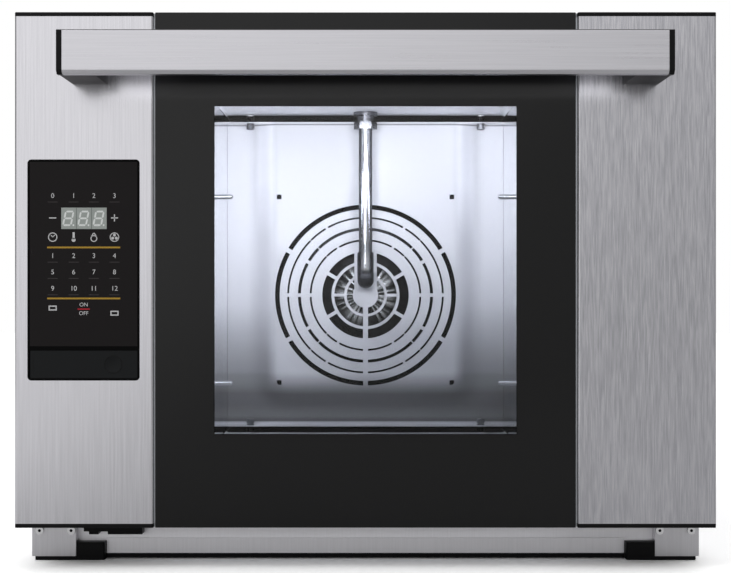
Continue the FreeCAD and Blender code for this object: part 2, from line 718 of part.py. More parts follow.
# Mineral wool: slabs round the chamber and one behind it
z0 = CAV_LOW - CAV_WALL
z1 = CAV_HIGH + CAV_WALL
x0 = CAV_X + CAV_WALL
top_slab = box(-INSUL_X, INSUL_X, y_case0, Y_WALL_BACK, z1, Z_COVER)
channel = PIPE_R + PIPE_CHANNEL
top_slab = top_slab.cut(box(-channel, channel, Y_PIPE - channel, Y_WALL_BACK + 1, z1 - 1, Z_COVER + 1))
side_slab = box(x0, INSUL_X, y_case0, Y_WALL_BACK, z0, z1)
bottom_slab = box(-INSUL_X, INSUL_X, y_case0, Y_WALL_BACK, Z_CASE, z0)
save("insulation_jacket", [top_slab, bottom_slab] + both_sides(side_slab))
rear_slab = box(-INSUL_X, INSUL_X, Y_WALL_BACK, Y_INSUL_BACK, Z_CASE, Z_COVER)
ya, yb = Y_WALL_BACK - 1, Y_INSUL_BACK + 1
holes = [rod("y", 0, FAN_Z, SEAL_R + SEAL_ROOM, ya, yb), rod("y", VENT_X, VENT_Z, VENT_R + WOOL_PLAY, ya, yb)]
holes += [rod("y", x, z, ELEMENT_FLANGE_R + WOOL_PLAY, ya, yb) for x, z in leg_at]
holes.append(rod("y", PROBE_X, PROBE_Z, PROBE_FLANGE_R + WOOL_PLAY, ya, yb))
standoffs = [(sx * STANDOFF_AT, FAN_Z + sz * STANDOFF_AT) for sx in (-1, 1) for sz in (-1, 1)]
holes += [rod("y", x, z, STANDOFF_R + WOOL_PLAY, ya, yb) for x, z in standoffs]
holes.append(box(-channel, channel, ya, yb, PIPE_RUN_Z - channel, Z_COVER + 1))
save("insulation_rear", cut(rear_slab, holes))

# Door seal: soft frame on the front plate round the chamber mouth
gx = CAV_X + GASKET_MARGIN
gz0 = CAV_LOW - GASKET_MARGIN
gz1 = CAV_HIGH + GASKET_MARGIN
y_seal = Y_DOOR_BACK + GASKET_PLAY
gw = GASKET_W
seal = round_bar("y", -gx - gw, gx + gw, gz0 - gw, gz1 + gw, GASKET_R + gw, y_seal, Y_BODY)
seal = seal.cut(round_bar("y", -gx, gx, gz0, gz1, GASKET_R, y_seal - 1, Y_BODY + 1))
save("door_gasket", seal)


def ring_slot(radii, webs):
    """Ring-shaped slot through the fan panel, left whole where a web (angle, width) crosses it."""
    r_in, r_out = radii
    y0, y1 = Y_FIELD - 1, Y_FIELD + PANEL_SHEET + 1
    slot_ring = ring("y", 0, FAN_Z, r_out, r_in, y0, y1)
    for angle, width in webs:
        web = box(0, r_out + 5, y0 - 1, y1 + 1, -width / 2.0, width / 2.0)
        web.rotate(vec(0, 0, 0), vec(0, 1, 0), -angle)
        web.translate(vec(0, 0, FAN_Z))
        slot_ring = slot_ring.cut(web)
    return slot_ring


# Fan panel: pressed sheet with a softly raised field, cut with ring slots in front of the fan
def field_wire(grow, y):
    """Rounded rectangle round the field, grown outwards, in the plane at y."""
    u = FIELD_HALF + grow
    frame = round_bar("y", -u, u, FIELD_LOW - grow, FIELD_HIGH + grow, FIELD_CORNER + grow, y, y + 1)
    return [f for f in frame.Faces if abs(f.CenterOfMass.y - y) < 0.01][0].OuterWire


def pressed_form(shift):
    """Front side of the press tool: a slab with the raised field, its folds rounded. The field runs out
    past the panel's upper edge, where the slab is trimmed."""
    y0 = Y_FIELD + shift
    y1 = Y_BORDER + shift
    raised = Part.makeLoft([field_wire(FIELD_SLOPE, y1), field_wire(0, y0)], True, True)
    slab_top = FIELD_HIGH + FIELD_SLOPE + FIELD_FOLD_R
    slab = box(-PANEL_HALF, PANEL_HALF, y1, y1 + 2 * PANEL_SHEET, PANEL_LOW, slab_top)
    form = slab.fuse(raised).removeSplitter()
    reach = FIELD_HALF + FIELD_SLOPE + 1
    folds = [e for e in form.Edges if abs(e.BoundBox.YMin - y0) < 0.01 and abs(e.BoundBox.YMax - y0) < 0.01]
    folds += [e for e in form.Edges if abs(e.BoundBox.YMin - y1) < 0.01 and abs(e.BoundBox.YMax - y1) < 0.01
              and max(abs(e.BoundBox.XMin), abs(e.BoundBox.XMax)) < reach]
    form = form.makeFillet(FIELD_FOLD_R, folds)
    return form.common(box(-PANEL_HALF, PANEL_HALF, y0 - 1, y1 + 2 * PANEL_SHEET, PANEL_LOW, PANEL_HIGH))


lips = [
    box(-PANEL_HALF, PANEL_HALF, Y_BORDER - LIP_D, Y_BORDER, PANEL_LOW, PANEL_LOW + PANEL_SHEET),
    box(-PANEL_HALF, PANEL_HALF, Y_BORDER - LIP_D, Y_BORDER, PANEL_HIGH - PANEL_SHEET, PANEL_HIGH),
]
panel = fuse([pressed_form(0).cut(pressed_form(PANEL_SHEET))] + lips)
six = [(30 + 60 * i, WEB_MID) for i in range(6)]
straight = [(0, WEB_SLIM), (180, WEB_SLIM), (90, WEB_TOP), (270, WEB_FOOT)]
diagonal = [(45 + 90 * i, WEB_HAIR) for i in range(4)]
sixty = [(a, WEB_THIN) for a in (60, 120, 240, 300)]
thirty = [(a, WEB_SLIM) for a in (30, 150, 210, 330)]
upright = [(90, WEB_PIPE), (270, WEB_FOOT)]
slots = [
    ring_slot(RING_1, six),
    ring_slot(RING_2, straight + diagonal + sixty),
    ring_slot(RING_3, straight + diagonal + thirty),
    ring_slot(RING_4, straight + diagonal + sixty),
    ring_slot(RING_5, thirty + upright),
    ring_slot(RING_6, [(0, WEB_THIN), (180, WEB_THIN)] + upright),
    ring_slot(RING_7, upright),
    rod("y", 0, SLEEVE_Z, SLEEVE_R + SLIDE_PLAY, Y_FIELD - 1, Y_FIELD + PANEL_SHEET + 1),
]
h = SQUARE_HOLE / 2.0
for x in (-SQUARE_X, SQUARE_X):
    for z in (FAN_Z - SQUARE_DOWN, FAN_Z + SQUARE_UP):
        slots.append(box(x - h, x + h, Y_FIELD - 1, Y_FIELD + PANEL_SHEET + 1, z - h, z + h))
for x in (-FIX_X, FIX_X):
    slots.append(rod("z", x, y_fix, FIX_R + FIX_HOLE_PLAY, PANEL_LOW - 1, PANEL_LOW + PANEL_SHEET + 1))
    slots.append(rod("z", x, y_fix, FIX_R + FIX_HOLE_PLAY, PANEL_HIGH - PANEL_SHEET - 1, PANEL_HIGH + 1))
save("fan_panel", cut(panel, slots))

# Panel screws: finger-tight screws through the lips into the chamber's bosses
screws = []
for x in (-FIX_X, FIX_X):
    z = PANEL_HIGH - PANEL_SHEET
    head = rod("z", x, y_fix, FIX_HEAD_R, z - FIX_HEAD_H, z)
    screws.append(fuse([head, rod("z", x, y_fix, FIX_R, z, CAV_HIGH - FIX_END_GAP)]))
    z = PANEL_LOW + PANEL_SHEET
    head = rod("z", x, y_fix, FIX_HEAD_R, z, z + FIX_HEAD_H)
    screws.append(fuse([head, rod("z", x, y_fix, FIX_R, CAV_LOW + FIX_END_GAP, z)]))
save("panel_fixing_screws", screws)

# Steam pipe: hangs from the chamber roof in front of the panel and runs back above the chamber
pipe_end = Y_INSUL_BACK + PIPE_TAIL
pipe_path = [(0, Y_PIPE, SLEEVE_Z + SLEEVE_BEND + PIPE_START), (0, Y_PIPE, PIPE_RUN_Z), (0, pipe_end, PIPE_RUN_Z)]
pipe = sweep(pipe_path, PIPE_BEND, PIPE_R).cut(sweep(pipe_path, PIPE_BEND, PIPE_BORE))
save("steam_pipe", pipe)
sleeve_path = [(0, Y_PIPE, SLEEVE_TOP), (0, Y_PIPE, SLEEVE_Z), (0, Y_FIELD + PANEL_SHEET + SLEEVE_END, SLEEVE_Z)]
sleeve_bore = PIPE_R + PIPE_FIT
sleeve = sweep(sleeve_path, SLEEVE_BEND, SLEEVE_R).cut(sweep(sleeve_path, SLEEVE_BEND, sleeve_bore))
save("pipe_sleeve", sleeve)
collar_top = CAV_HIGH - PIPE_WASHER_T
nut_top = collar_top - PIPE_COLLAR_H
nut_low = nut_top - PIPE_NUT_H
nut_bore = rod("z", 0, Y_PIPE, sleeve_bore, nut_low - 1, CAV_HIGH + 1)
nut = fuse([
    rod("z", 0, Y_PIPE, PIPE_WASHER_R, collar_top, CAV_HIGH),
    rod("z", 0, Y_PIPE, PIPE_R + PIPE_COLLAR_T, nut_top, collar_top),
    hexagon("z", 0, Y_PIPE, PIPE_NUT_FLATS, nut_low, nut_top),
])
save("pipe_nut", nut.cut(nut_bore))

# Heating element: two sheathed rings round the fan with legs through the rear wall
y_e1 = Y_CAV_BACK - ELEMENT_BACK
y_e2 = y_e1 + ELEMENT_GAP
element = [Part.makeTorus(ELEMENT_R, ELEMENT_ROD, vec(0, y, FAN_Z), vec(0, 1, 0)) for y in (y_e1, y_e2)]
for x, z in leg_at:
    element.append(rod("y", x, z, ELEMENT_LEG, y_e1, Y_INSUL_BACK + ELEMENT_TAIL))
    element.append(rod("y", x, z, ELEMENT_FLANGE_R, Y_WALL_BACK, Y_WALL_BACK + FLANGE_T))
body = element[0]
for piece in element[1:]:
    body = body.fuse(piece)
save("heating_element", body)

# Fan: pressed wheel with radial blades on a hub, held on the motor shaft by a nut
y_back = Y_CAV_BACK - FAN_BACK_GAP
y_tip = y_back - FAN_DEPTH
y_hub = y_tip + FAN_HUB_SUNK
wheel = [
    rod("y", 0, FAN_Z, FAN_R, y_back - FAN_BACK_T, y_back),
    rod("y", 0, FAN_Z, FAN_HUB_R, y_hub, y_back),
    ring("y", 0, FAN_Z, FAN_R, FAN_R - FAN_RING_W, y_tip - FAN_BACK_T, y_tip),
]
half = FAN_BLADE_T / 2.0
for i in range(FAN_BLADES):
    blade = box(FAN_BLADE_IN, FAN_R - FAN_BLADE_END, y_tip, y_back - FAN_BACK_T, -half, half)
    blade.rotate(vec(0, 0, 0), vec(0, 1, 0), 360.0 * i / FAN_BLADES)
    blade.translate(vec(0, 0, FAN_Z))
    wheel.append(blade)
wheel = fuse(wheel).cut(rod("y", 0, FAN_Z, SHAFT_R, y_tip - FAN_BACK_T - 1, y_back + 1))
save("fan_wheel", wheel)
y_motor = Y_INSUL_BACK + MOTOR_PLATE_T
y_motor_end = y_motor + MOTOR_L + MOTOR_BELL_L
y_nut = y_hub - NUT_H
y_bore_end = y_motor_end - MOTOR_END_WALL
save("fan_shaft", rod("y", 0, FAN_Z, SHAFT_R, y_nut + SHAFT_SUNK, y_bore_end - SHAFT_END_GAP))
fan_nut = hexagon("y", 0, FAN_Z, NUT_FLATS, y_nut, y_hub).cut(rod("y", 0, FAN_Z, SHAFT_R, y_nut - 1, y_hub + 1))
save("fan_nut", fan_nut)

# Motor: plate on four spacers against the chamber's rear wall, motor with a hollow for the shaft
plate = box(-MOTOR_PLATE / 2.0, MOTOR_PLATE / 2.0, Y_INSUL_BACK, y_motor,
            FAN_Z - MOTOR_PLATE / 2.0, FAN_Z + MOTOR_PLATE / 2.0)
plate = plate.cut(rod("y", 0, FAN_Z, SEAL_R + SEAL_PLATE_GAP, Y_INSUL_BACK - 1, y_motor + 1))
spacers = [rod("y", x, z, STANDOFF_R, Y_WALL_BACK, Y_INSUL_BACK) for x, z in standoffs]
save("motor_plate", fuse([plate] + spacers))
motor = fuse([rod("y", 0, FAN_Z, MOTOR_R, y_motor, y_motor + MOTOR_L),
              rod("y", 0, FAN_Z, MOTOR_BELL_R, y_motor + MOTOR_L, y_motor_end)])
save("fan_motor", motor.cut(rod("y", 0, FAN_Z, SHAFT_R + PIN_PLAY, y_motor - 1, y_bore_end)))
save("shaft_seal", ring("y", 0, FAN_Z, SEAL_R, SHAFT_R + SLIDE_PLAY, Y_WALL_BACK, Y_WALL_BACK + SEAL_T))

# Safety thermostat on the motor plate, temperature probe through the rear wall
tx0 = THERMOSTAT_AT
tx1 = tx0 + THERMOSTAT
save("safety_thermostat", box(tx0, tx1, y_motor, y_motor + THERMOSTAT_D, FAN_Z + tx0, FAN_Z + tx1))
probe = fuse([rod("y", PROBE_X, PROBE_Z, PROBE_R, Y_BORDER + PROBE_GAP, Y_WALL_BACK + PROBE_TAIL),
              rod("y", PROBE_X, PROBE_Z, PROBE_FLANGE_R, Y_WALL_BACK, Y_WALL_BACK + FLANGE_T)])
save("temperature_probe", probe)

# Vent pipe from the chamber's rear wall to a stub behind the oven
y_spigot = Y_REAR + SPIGOT_START
vent = fuse([
    rod("y", VENT_X, VENT_Z, VENT_PIPE_R, Y_CAV_BACK, y_spigot),
    rod("y", VENT_X, VENT_Z, VENT_R, y_spigot, Y_END),
])
save("vent_pipe", vent.cut(rod("y", VENT_X, VENT_Z, VENT_PIPE_R - VENT_WALL, Y_CAV_BACK - 1, Y_END + 1)))

# Water inlet: valve on the rear cover with a threaded stub, and the hose up to the steam pipe
y_valve = y_case1 - VALVE_D
y_port = y_valve + PORT_IN
valve_top = VALVE_Z + VALVE_H
w = VALVE_W / 2.0
cw = COIL_W / 2.0
valve = fuse([
    box(VALVE_X - w, VALVE_X + w, y_valve, y_case1, VALVE_Z, valve_top),
    box(VALVE_X - cw, VALVE_X + cw, y_valve + COIL_FRONT, y_case1 - COIL_REAR, VALVE_Z - COIL_H, VALVE_Z),
    rod("z", VALVE_X, y_port, PIPE_R, valve_top, valve_top + PORT_L),
    rod("y", VALVE_X, INLET_Z, THREAD_R - SPIGOT_STEP, y_case1, y_spigot),
    rod("y", VALVE_X, INLET_Z, THREAD_R, y_spigot, Y_END),
])
valve = valve.cut(rod("y", VALVE_X, INLET_Z, THREAD_BORE, Y_REAR - THREAD_BORE_IN, Y_END + 1))
save("water_valve", valve)
hose_path = [(0, pipe_end - HOSE_LAP, PIPE_RUN_Z), (0, y_port, PIPE_RUN_Z), (VALVE_X, y_port, PIPE_RUN_Z),
             (VALVE_X, y_port, valve_top + HOSE_GAP)]
hose_bore = PIPE_R + PIPE_FIT
hose = sweep(hose_path, HOSE_BEND, hose_bore + HOSE_WALL).cut(sweep(hose_path, HOSE_BEND, hose_bore))
save("water_hose", hose)

# Supply: cable gland in the rear cover and a terminal block on the base beside it
gland = fuse([
    rod("y", GLAND_X, GLAND_Z, GLAND_THREAD_R, y_case1 - GLAND_THREAD_L, Y_REAR),
    hexagon("y", GLAND_X, GLAND_Z, GLAND_FLATS, y_case1 - GLAND_LOCKNUT, y_case1),
    hexagon("y", GLAND_X, GLAND_Z, GLAND_FLATS, Y_REAR, Y_REAR + GLAND_HEX),
    rod("y", GLAND_X, GLAND_Z, GLAND_DOME_R, Y_REAR + GLAND_HEX, Y_END),
])
save("cable_gland", gland.cut(rod("y", GLAND_X, GLAND_Z, GLAND_BORE, y_case1 - GLAND_THREAD_L - 1, Y_END + 1)))
y_term = Y_INSUL_BACK + TERMINAL_GAP
half = TERMINAL_L / 2.0
term_top = Z_CASE + TERMINAL_H
terminal = box(GLAND_X - half, GLAND_X + half, y_term, y_term + TERMINAL_D, Z_CASE, term_top)
for i in range(TERMINAL_WAYS):
    x = GLAND_X + TERMINAL_PITCH * (i - (TERMINAL_WAYS - 1) / 2.0)
    well = rod("z", x, y_term + TERMINAL_D / 2.0, TERMINAL_WELL_R, term_top - TERMINAL_WELL_D, term_top + 1)
    terminal = terminal.cut(well)
save("terminal_block", terminal)

# Power board: printed board with relays on a folded steel tray in the right-hand bay
tx = INSUL_X + TRAY_OUT
ty0 = Y_BODY + TRAY_BACK
ty1 = ty0 + TRAY_L
bx = tx + TRAY_SHEET + TRAY_SPACER_L
by0 = ty0 + POWER_MARGIN
by1 = ty1 - POWER_MARGIN
bz0 = Z_CASE + POWER_RISE
bz1 = bz0 + POWER_H
tray = [
    box(tx, tx + TRAY_SHEET, ty0, ty1, Z_CASE, Z_CASE + TRAY_H),
    box(tx + TRAY_SHEET, tx + TRAY_FOOT, ty0, ty1, Z_CASE, Z_CASE + TRAY_SHEET),
]
for y in (by0 + SPACER_INSET, by1 - SPACER_INSET):
    for z in (bz0 + SPACER_INSET, bz1 - SPACER_INSET):
        tray.append(rod("x", y, z, TRAY_SPACER_R, tx + TRAY_SHEET, bx))
save("board_tray", fuse(tray))
bf = bx + BOARD_T
board = [box(bx, bf, by0, by1, bz0, bz1)]
for i in range(RELAYS):
    y = ty0 + RELAY_FIRST + RELAY_PITCH * i
    board.append(box(bf, bf + RELAY_D, y, y + RELAY_L, bz1 - RELAY_DROP - RELAY_H, bz1 - RELAY_DROP))
y = by1 - COIL_BLOCK_REAR
z = bz0 + COIL_BLOCK_RISE
board.append(box(bf, bf + COIL_BLOCK_D, y - COIL_BLOCK, y, z, z + COIL_BLOCK))
save("power_board", fuse(board))

# Cooling fan for the electronics: square frame on the rear cover and a bladed rotor on its axle
c = COOL_SIZE / 2.0
y_cool = y_case1 - COOL_T
y_spider = y_case1 - COOL_SPIDER_T
arm_half = COOL_SPIDER_W / 2.0
arm_end = COOL_BORE_R + COOL_ROOT
cool = round_bar("y", COOL_X - c, COOL_X + c, COOL_Z - c, COOL_Z + c, COOL_CORNER, y_cool, y_case1)
cool = cool.cut(rod("y", COOL_X, COOL_Z, COOL_BORE_R, y_cool - 1, y_case1 + 1))
hub = [
    rod("y", COOL_X, COOL_Z, COOL_HUB_R, y_spider, y_case1),
    rod("y", COOL_X, COOL_Z, COOL_AXLE_R - PIN_PLAY, y_cool + COOL_AXLE_IN, y_spider),
    box(COOL_X - arm_end, COOL_X + arm_end, y_spider, y_case1, COOL_Z - arm_half, COOL_Z + arm_half),
    box(COOL_X - arm_half, COOL_X + arm_half, y_spider, y_case1, COOL_Z - arm_end, COOL_Z + arm_end),
]
save("cooling_fan_frame", fuse([cool] + hub))
y_rotor0 = y_cool + COOL_ROTOR_FRONT
y_rotor1 = y_spider - COOL_ROTOR_GAP
bw = COOL_BLADE_W / 2.0
bt = COOL_BLADE_T / 2.0
rotor = [rod("y", COOL_X, COOL_Z, COOL_HUB_R, y_rotor0, y_rotor1)]
for i in range(COOL_BLADES):
    blade = box(COOL_HUB_R - COOL_ROOT, COOL_BLADE_R, -bw, bw, -bt, bt)
    blade.rotate(vec(0, 0, 0), vec(1, 0, 0), COOL_BLADE_PITCH)
    blade.rotate(vec(0, 0, 0), vec(0, 1, 0), 360.0 * i / COOL_BLADES)
    blade.translate(vec(COOL_X, (y_rotor0 + y_rotor1) / 2.0, COOL_Z))
    rotor.append(blade)
axle_bore = rod("y", COOL_X, COOL_Z, COOL_AXLE_R, y_cool + COOL_AXLE_IN - 1, y_case1)
save("cooling_fan_rotor", fuse(rotor).cut(axle_bore))

# Door wings: folded steel boxes left and right of the glass
wing_z0 = DOOR_BOTTOM + CAP_T
wing_z1 = Z_DOOR_TOP - CAP_T
t = WING_SHEET
wing = round_bar("z", WING_IN, WING_OUT, YF, Y_DOOR_BACK, WING_CORNER, wing_z0, wing_z1)
wing = wing.cut(round_bar("z", WING_IN + t, WING_OUT - t, YF + t, Y_DOOR_BACK - t, WING_CORNER - t,
                         wing_z0 - 1, wing_z1 + 1))
notch = box(arm_x0 - NOTCH_PLAY, arm_x1 + NOTCH_PLAY, PIVOT_Y - HINGE_EYE_R - NOTCH_PLAY, Y_DOOR_BACK + 1,
            DOOR_BOTTOM - 1, arm_z1 + NOTCH_PLAY)
wing = wing.cut(notch)
handle_mid = HANDLE_BOTTOM + HANDLE_H / 2.0
screw_at = [(HANDLE_HALF - BRACKET_W / 2.0, handle_mid + s * HANDLE_SCREW_PITCH / 2.0) for s in (-1, 1)]
wing = cut(wing, [rod("y", x, z, HANDLE_SCREW_R + HANDLE_SCREW_PLAY, YF - 1, YF + t + 1) for x, z in screw_at])
save("wing_right", wing)
cx0 = -WING_OUT + CTRL_OUTER_MARGIN
cx1 = -WING_IN - CTRL_INNER_MARGIN
cz0 = CTRL_BOTTOM
cz1 = cz0 + CTRL_H
window = round_bar("y", cx0, cx1, cz0, cz1, CTRL_CORNER, YF - 1, YF + t + 1)
save("wing_left", mirrored(wing).cut(window))

# Wing caps: black end pieces above and below the wings, the lower ones notched for the hinges
low_cap = round_bar("z", WING_IN, WING_OUT, YF, Y_DOOR_BACK, WING_CORNER, DOOR_BOTTOM, wing_z0).cut(notch)
top_cap = round_bar("z", WING_IN, WING_OUT, YF, Y_DOOR_BACK, WING_CORNER, wing_z1, Z_DOOR_TOP)
save("wing_caps", both_sides(low_cap) + both_sides(top_cap))

# Hinge leaves inside the wings and the pins through them and the arms
slot_top = arm_z1 + NOTCH_PLAY
leaf = box(HINGE_X - LEAF_W / 2.0, HINGE_X + LEAF_W / 2.0, PIVOT_Y - LEAF_D, Y_DOOR_BACK - t,
           wing_z0, slot_top + LEAF_WEB)
leaf = leaf.cut(box(HINGE_X - LEAF_SLOT / 2.0, HINGE_X + LEAF_SLOT / 2.0, PIVOT_Y - LEAF_D - 1, Y_DOOR_BACK,
                    wing_z0 - 1, slot_top))
pin_hole = rod("x", PIVOT_Y, PIVOT_Z, HINGE_PIN_R, HINGE_X - LEAF_W, HINGE_X + LEAF_W)
save("hinge_leaves", both_sides(leaf.cut(pin_hole)))
pin = rod("x", PIVOT_Y, PIVOT_Z, HINGE_PIN_R, HINGE_X - LEAF_W / 2.0, HINGE_X + LEAF_W / 2.0)
save("hinge_pins", both_sides(pin))

# Glass: outer pane over the full height, inner pane behind the window
y_glass = YF + GLASS_SETBACK
y_pan = y_glass + GLASS_T
gh = GLASS_W / 2.0
save("door_glass_outer", box(-gh, gh, y_glass, y_pan, DOOR_BOTTOM, Z_DOOR_TOP))
ix = PAN_OPEN_HALF + PAN_LIP
iz0 = PAN_OPEN_LOW - PAN_LIP
iz1 = PAN_OPEN_HIGH + PAN_LIP
p = INNER_GLASS_PLAY
y_lip = Y_DOOR_BACK - PAN_SHEET
inner_glass = box(-ix + p, ix - p, y_lip - INNER_GLASS_T, y_lip, iz0 + p, iz1 - p)
save("door_glass_inner", inner_glass)

# Door pan: folded steel tray behind the outer pane, joined to both wings
s = PAN_SHEET
shell = box(-WING_IN, WING_IN, y_pan, Y_DOOR_BACK, DOOR_BOTTOM, Z_DOOR_TOP)
shell = shell.cut(box(-WING_IN + s, WING_IN - s, y_pan + s, y_lip, DOOR_BOTTOM + s, Z_DOOR_TOP - s))
f = PAN_FLANGE
shell = shell.cut(box(-WING_IN + f, WING_IN - f, y_pan - 1, y_pan + s + 1, DOOR_BOTTOM + f, Z_DOOR_TOP - f))
inner_wall = box(-ix - s, ix + s, y_pan, y_lip, iz0 - s, iz1 + s)
inner_wall = inner_wall.cut(box(-ix, ix, y_pan - 1, y_lip + 1, iz0, iz1))
opening = round_bar("y", -PAN_OPEN_HALF, PAN_OPEN_HALF, PAN_OPEN_LOW, PAN_OPEN_HIGH, PAN_OPEN_R,
                    y_lip - 1, Y_DOOR_BACK + 1)
save("door_pan", fuse([shell, inner_wall]).cut(opening))

# Clips that hold the inner pane, and the lamp bars beside the window
mid = (iz0 + iz1) / 2.0
y_clip = y_lip - INNER_GLASS_T - CLIP_T
clips = []
for z in (mid - CLIP_SPREAD / 2.0, mid + CLIP_SPREAD / 2.0):
    clips += both_sides(box(ix - CLIP_W, ix, y_clip, y_clip + CLIP_T, z - CLIP_L / 2.0, z + CLIP_L / 2.0))
save("glass_clips", clips)
y_led = YF + LED_SETBACK
led = box(ix - LED_T, ix, y_led, y_led + LED_D, iz0 + LED_MARGIN, iz1 - LED_MARGIN)
save("door_led_bars", both_sides(led))

# Handle: hollow flat bar with a bevelled lower edge, on black end brackets screwed to the wings
hy0 = YF - HANDLE_REACH
hy1 = hy0 + HANDLE_DEPTH
hz0 = HANDLE_BOTTOM
hz1 = hz0 + HANDLE_H
bar_x = HANDLE_HALF - HANDLE_CAP_T


def handle_section(offset, x0, x1):
    b = HANDLE_BEVEL
    pts = [(hy0 + offset, hz0 + b + offset), (hy0 + b + offset, hz0 + offset), (hy1 - offset, hz0 + offset),
           (hy1 - offset, hz1 - offset), (hy0 + offset, hz1 - offset)]
    return prism("x", pts, x0, x1)


bar = handle_section(0, -bar_x, bar_x)
long_edges = [e for e in bar.Edges if e.Length > 2 * bar_x - 1]
bar = bar.makeFillet(HANDLE_EDGE_R, long_edges)
bar = bar.cut(handle_section(HANDLE_WALL, -bar_x - 1, bar_x + 1))
save("handle_bar", bar)
end = handle_section(0, bar_x, HANDLE_HALF)
end = end.makeFillet(HANDLE_EDGE_R, [e for e in end.Edges if abs(e.Length - HANDLE_CAP_T) < 0.01])
bracket = fuse([end, box(HANDLE_HALF - BRACKET_W, HANDLE_HALF, hy1, YF, hz0 + BRACKET_INSET, hz1 - BRACKET_INSET)])
bracket = cut(bracket, [rod("y", x, z, HANDLE_SCREW_R, YF - HANDLE_SCREW_L, YF + 1) for x, z in screw_at])
save("handle_brackets", both_sides(bracket))
screws = []
for x, z in screw_at:
    head = rod("y", x, z, HANDLE_SCREW_HEAD_R, YF + t, YF + t + HANDLE_SCREW_HEAD_H)
    screws += both_sides(fuse([head, rod("y", x, z, HANDLE_SCREW_R, YF - HANDLE_SCREW_L, YF + t)]))
save("handle_screws", screws)

# Control unit: moulded housing clipped into the left wing, with a fascia above a flap
fit = CTRL_FIT
y_front = YF - CTRL_PROUD
y_shelf = y_front + FASCIA_SUNK + FASCIA_T
y_back = y_shelf + BACKING_T
rim = CTRL_RIM
px0, px1 = cx0 + rim, cx1 - rim
pz0, pz1 = cz0 + rim, cz1 - rim
flap_z0 = pz0 + fit
flap_z1 = flap_z0 + FLAP_H
fascia_z0 = flap_z1 + FLAP_DIVIDER
housing = fuse([
    round_bar("y", cx0 + fit, cx1 - fit, cz0 + fit, cz1 - fit, CTRL_CORNER - fit, y_front, YF + CTRL_DEPTH),
    round_bar("y", cx0 - CTRL_FLANGE, cx1 + CTRL_FLANGE, cz0 - CTRL_FLANGE, cz1 + CTRL_FLANGE, CTRL_CORNER,
              YF + t, YF + t + CTRL_FLANGE_T),
])
pocket = box(px0, px1, y_front - 1, y_shelf, fascia_z0 - fit, pz1)
y_recess = y_shelf + RECESS_D
recess = box(px0, px1, y_front - 1, y_recess, pz0, flap_z1 + fit)
pw = POCKET_WALL
rear_pocket = box(px0 + pw, px1 - pw, y_back, YF + CTRL_DEPTH + 1, fascia_z0 + pw, pz1 - pw)
y_floor = y_recess + RECESS_FLOOR_T
low_pocket = box(px0 + pw, px1 - pw, y_floor, YF + CTRL_DEPTH + 1, pz0 + pw, fascia_z0 - pw)
cmid = (cx0 + cx1) / 2.0
dx0 = cmid + DISPLAY_SHIFT - DISPLAY_W / 2.0
dz0 = cz1 - DISPLAY_DROP - DISPLAY_H
display_hole = box(dx0 - fit, dx0 + DISPLAY_W + fit, y_front - 1, y_back + 1, dz0 - fit, dz0 + DISPLAY_H + fit)
sx0 = cmid - SOCKET_W / 2.0
sz0 = (flap_z0 + flap_z1) / 2.0 - SOCKET_H / 2.0
socket_hole = box(sx0 - fit, sx0 + SOCKET_W + fit, y_recess - 1, YF + CTRL_DEPTH, sz0 - fit, sz0 + SOCKET_H + fit)
y_board = y_front + DISPLAY_D
flap_px = px0 + fit + FASCIA_T / 2.0
flap_py = y_front + FASCIA_SUNK + FASCIA_T / 2.0
pin_play = FLAP_PIN_R + PIN_PLAY
pin_end = FLAP_PIN_L + FLAP_PIN_END
pin_sockets = rod("z", flap_px, flap_py, pin_play, flap_z0 - pin_end, flap_z1 + pin_end)
housing = cut(housing, [pocket, recess, rear_pocket, low_pocket, display_hole, socket_hole, pin_sockets])
for x in (px0 + BOSS_MARGIN, px1 - BOSS_MARGIN):
    for z in (fascia_z0 + BOSS_MARGIN, pz1 - BOSS_MARGIN):
        housing = housing.fuse(rod("y", x, z, BOSS_R, y_back, y_board))
save("control_housing", housing.removeSplitter())
fascia = box(px0 + fit, px1 - fit, y_front + FASCIA_SUNK, y_shelf, fascia_z0, pz1 - fit)
save("control_fascia", fascia.cut(display_hole))
save("display_module", box(dx0, dx0 + DISPLAY_W, y_front + FASCIA_SUNK, y_board, dz0, dz0 + DISPLAY_H))
m = BOARD_MARGIN
save("control_board", box(px0 + m, px1 - m, y_board, y_board + BOARD_T, fascia_z0 + m, pz1 - m))
sx1 = sx0 + SOCKET_W
sz1 = sz0 + SOCKET_H
y_sock = y_recess - SOCKET_PROUD
y_inner = y_sock + SOCKET_D - SOCKET_BACK
w = SOCKET_WALL
socket = box(sx0, sx1, y_sock, y_sock + SOCKET_D, sz0, sz1)
socket = socket.cut(box(sx0 + w, sx1 - w, y_sock - 1, y_inner, sz0 + w, sz1 - w))
tongue = box(sx0 + TONGUE_SIDE, sx1 - TONGUE_SIDE, y_sock + TONGUE_SUNK, y_inner,
             sz0 + SOCKET_H / 2.0, sz0 + SOCKET_H / 2.0 + TONGUE_T)
g = SOCKET_FLANGE
collar = box(sx0 - g, sx1 + g, y_floor, y_floor + SOCKET_FLANGE_T, sz0 - g, sz1 + g)
collar = collar.cut(box(sx0, sx1, y_floor - 1, y_floor + SOCKET_FLANGE_T + 1, sz0, sz1))
save("usb_socket", fuse([socket, tongue, collar]))

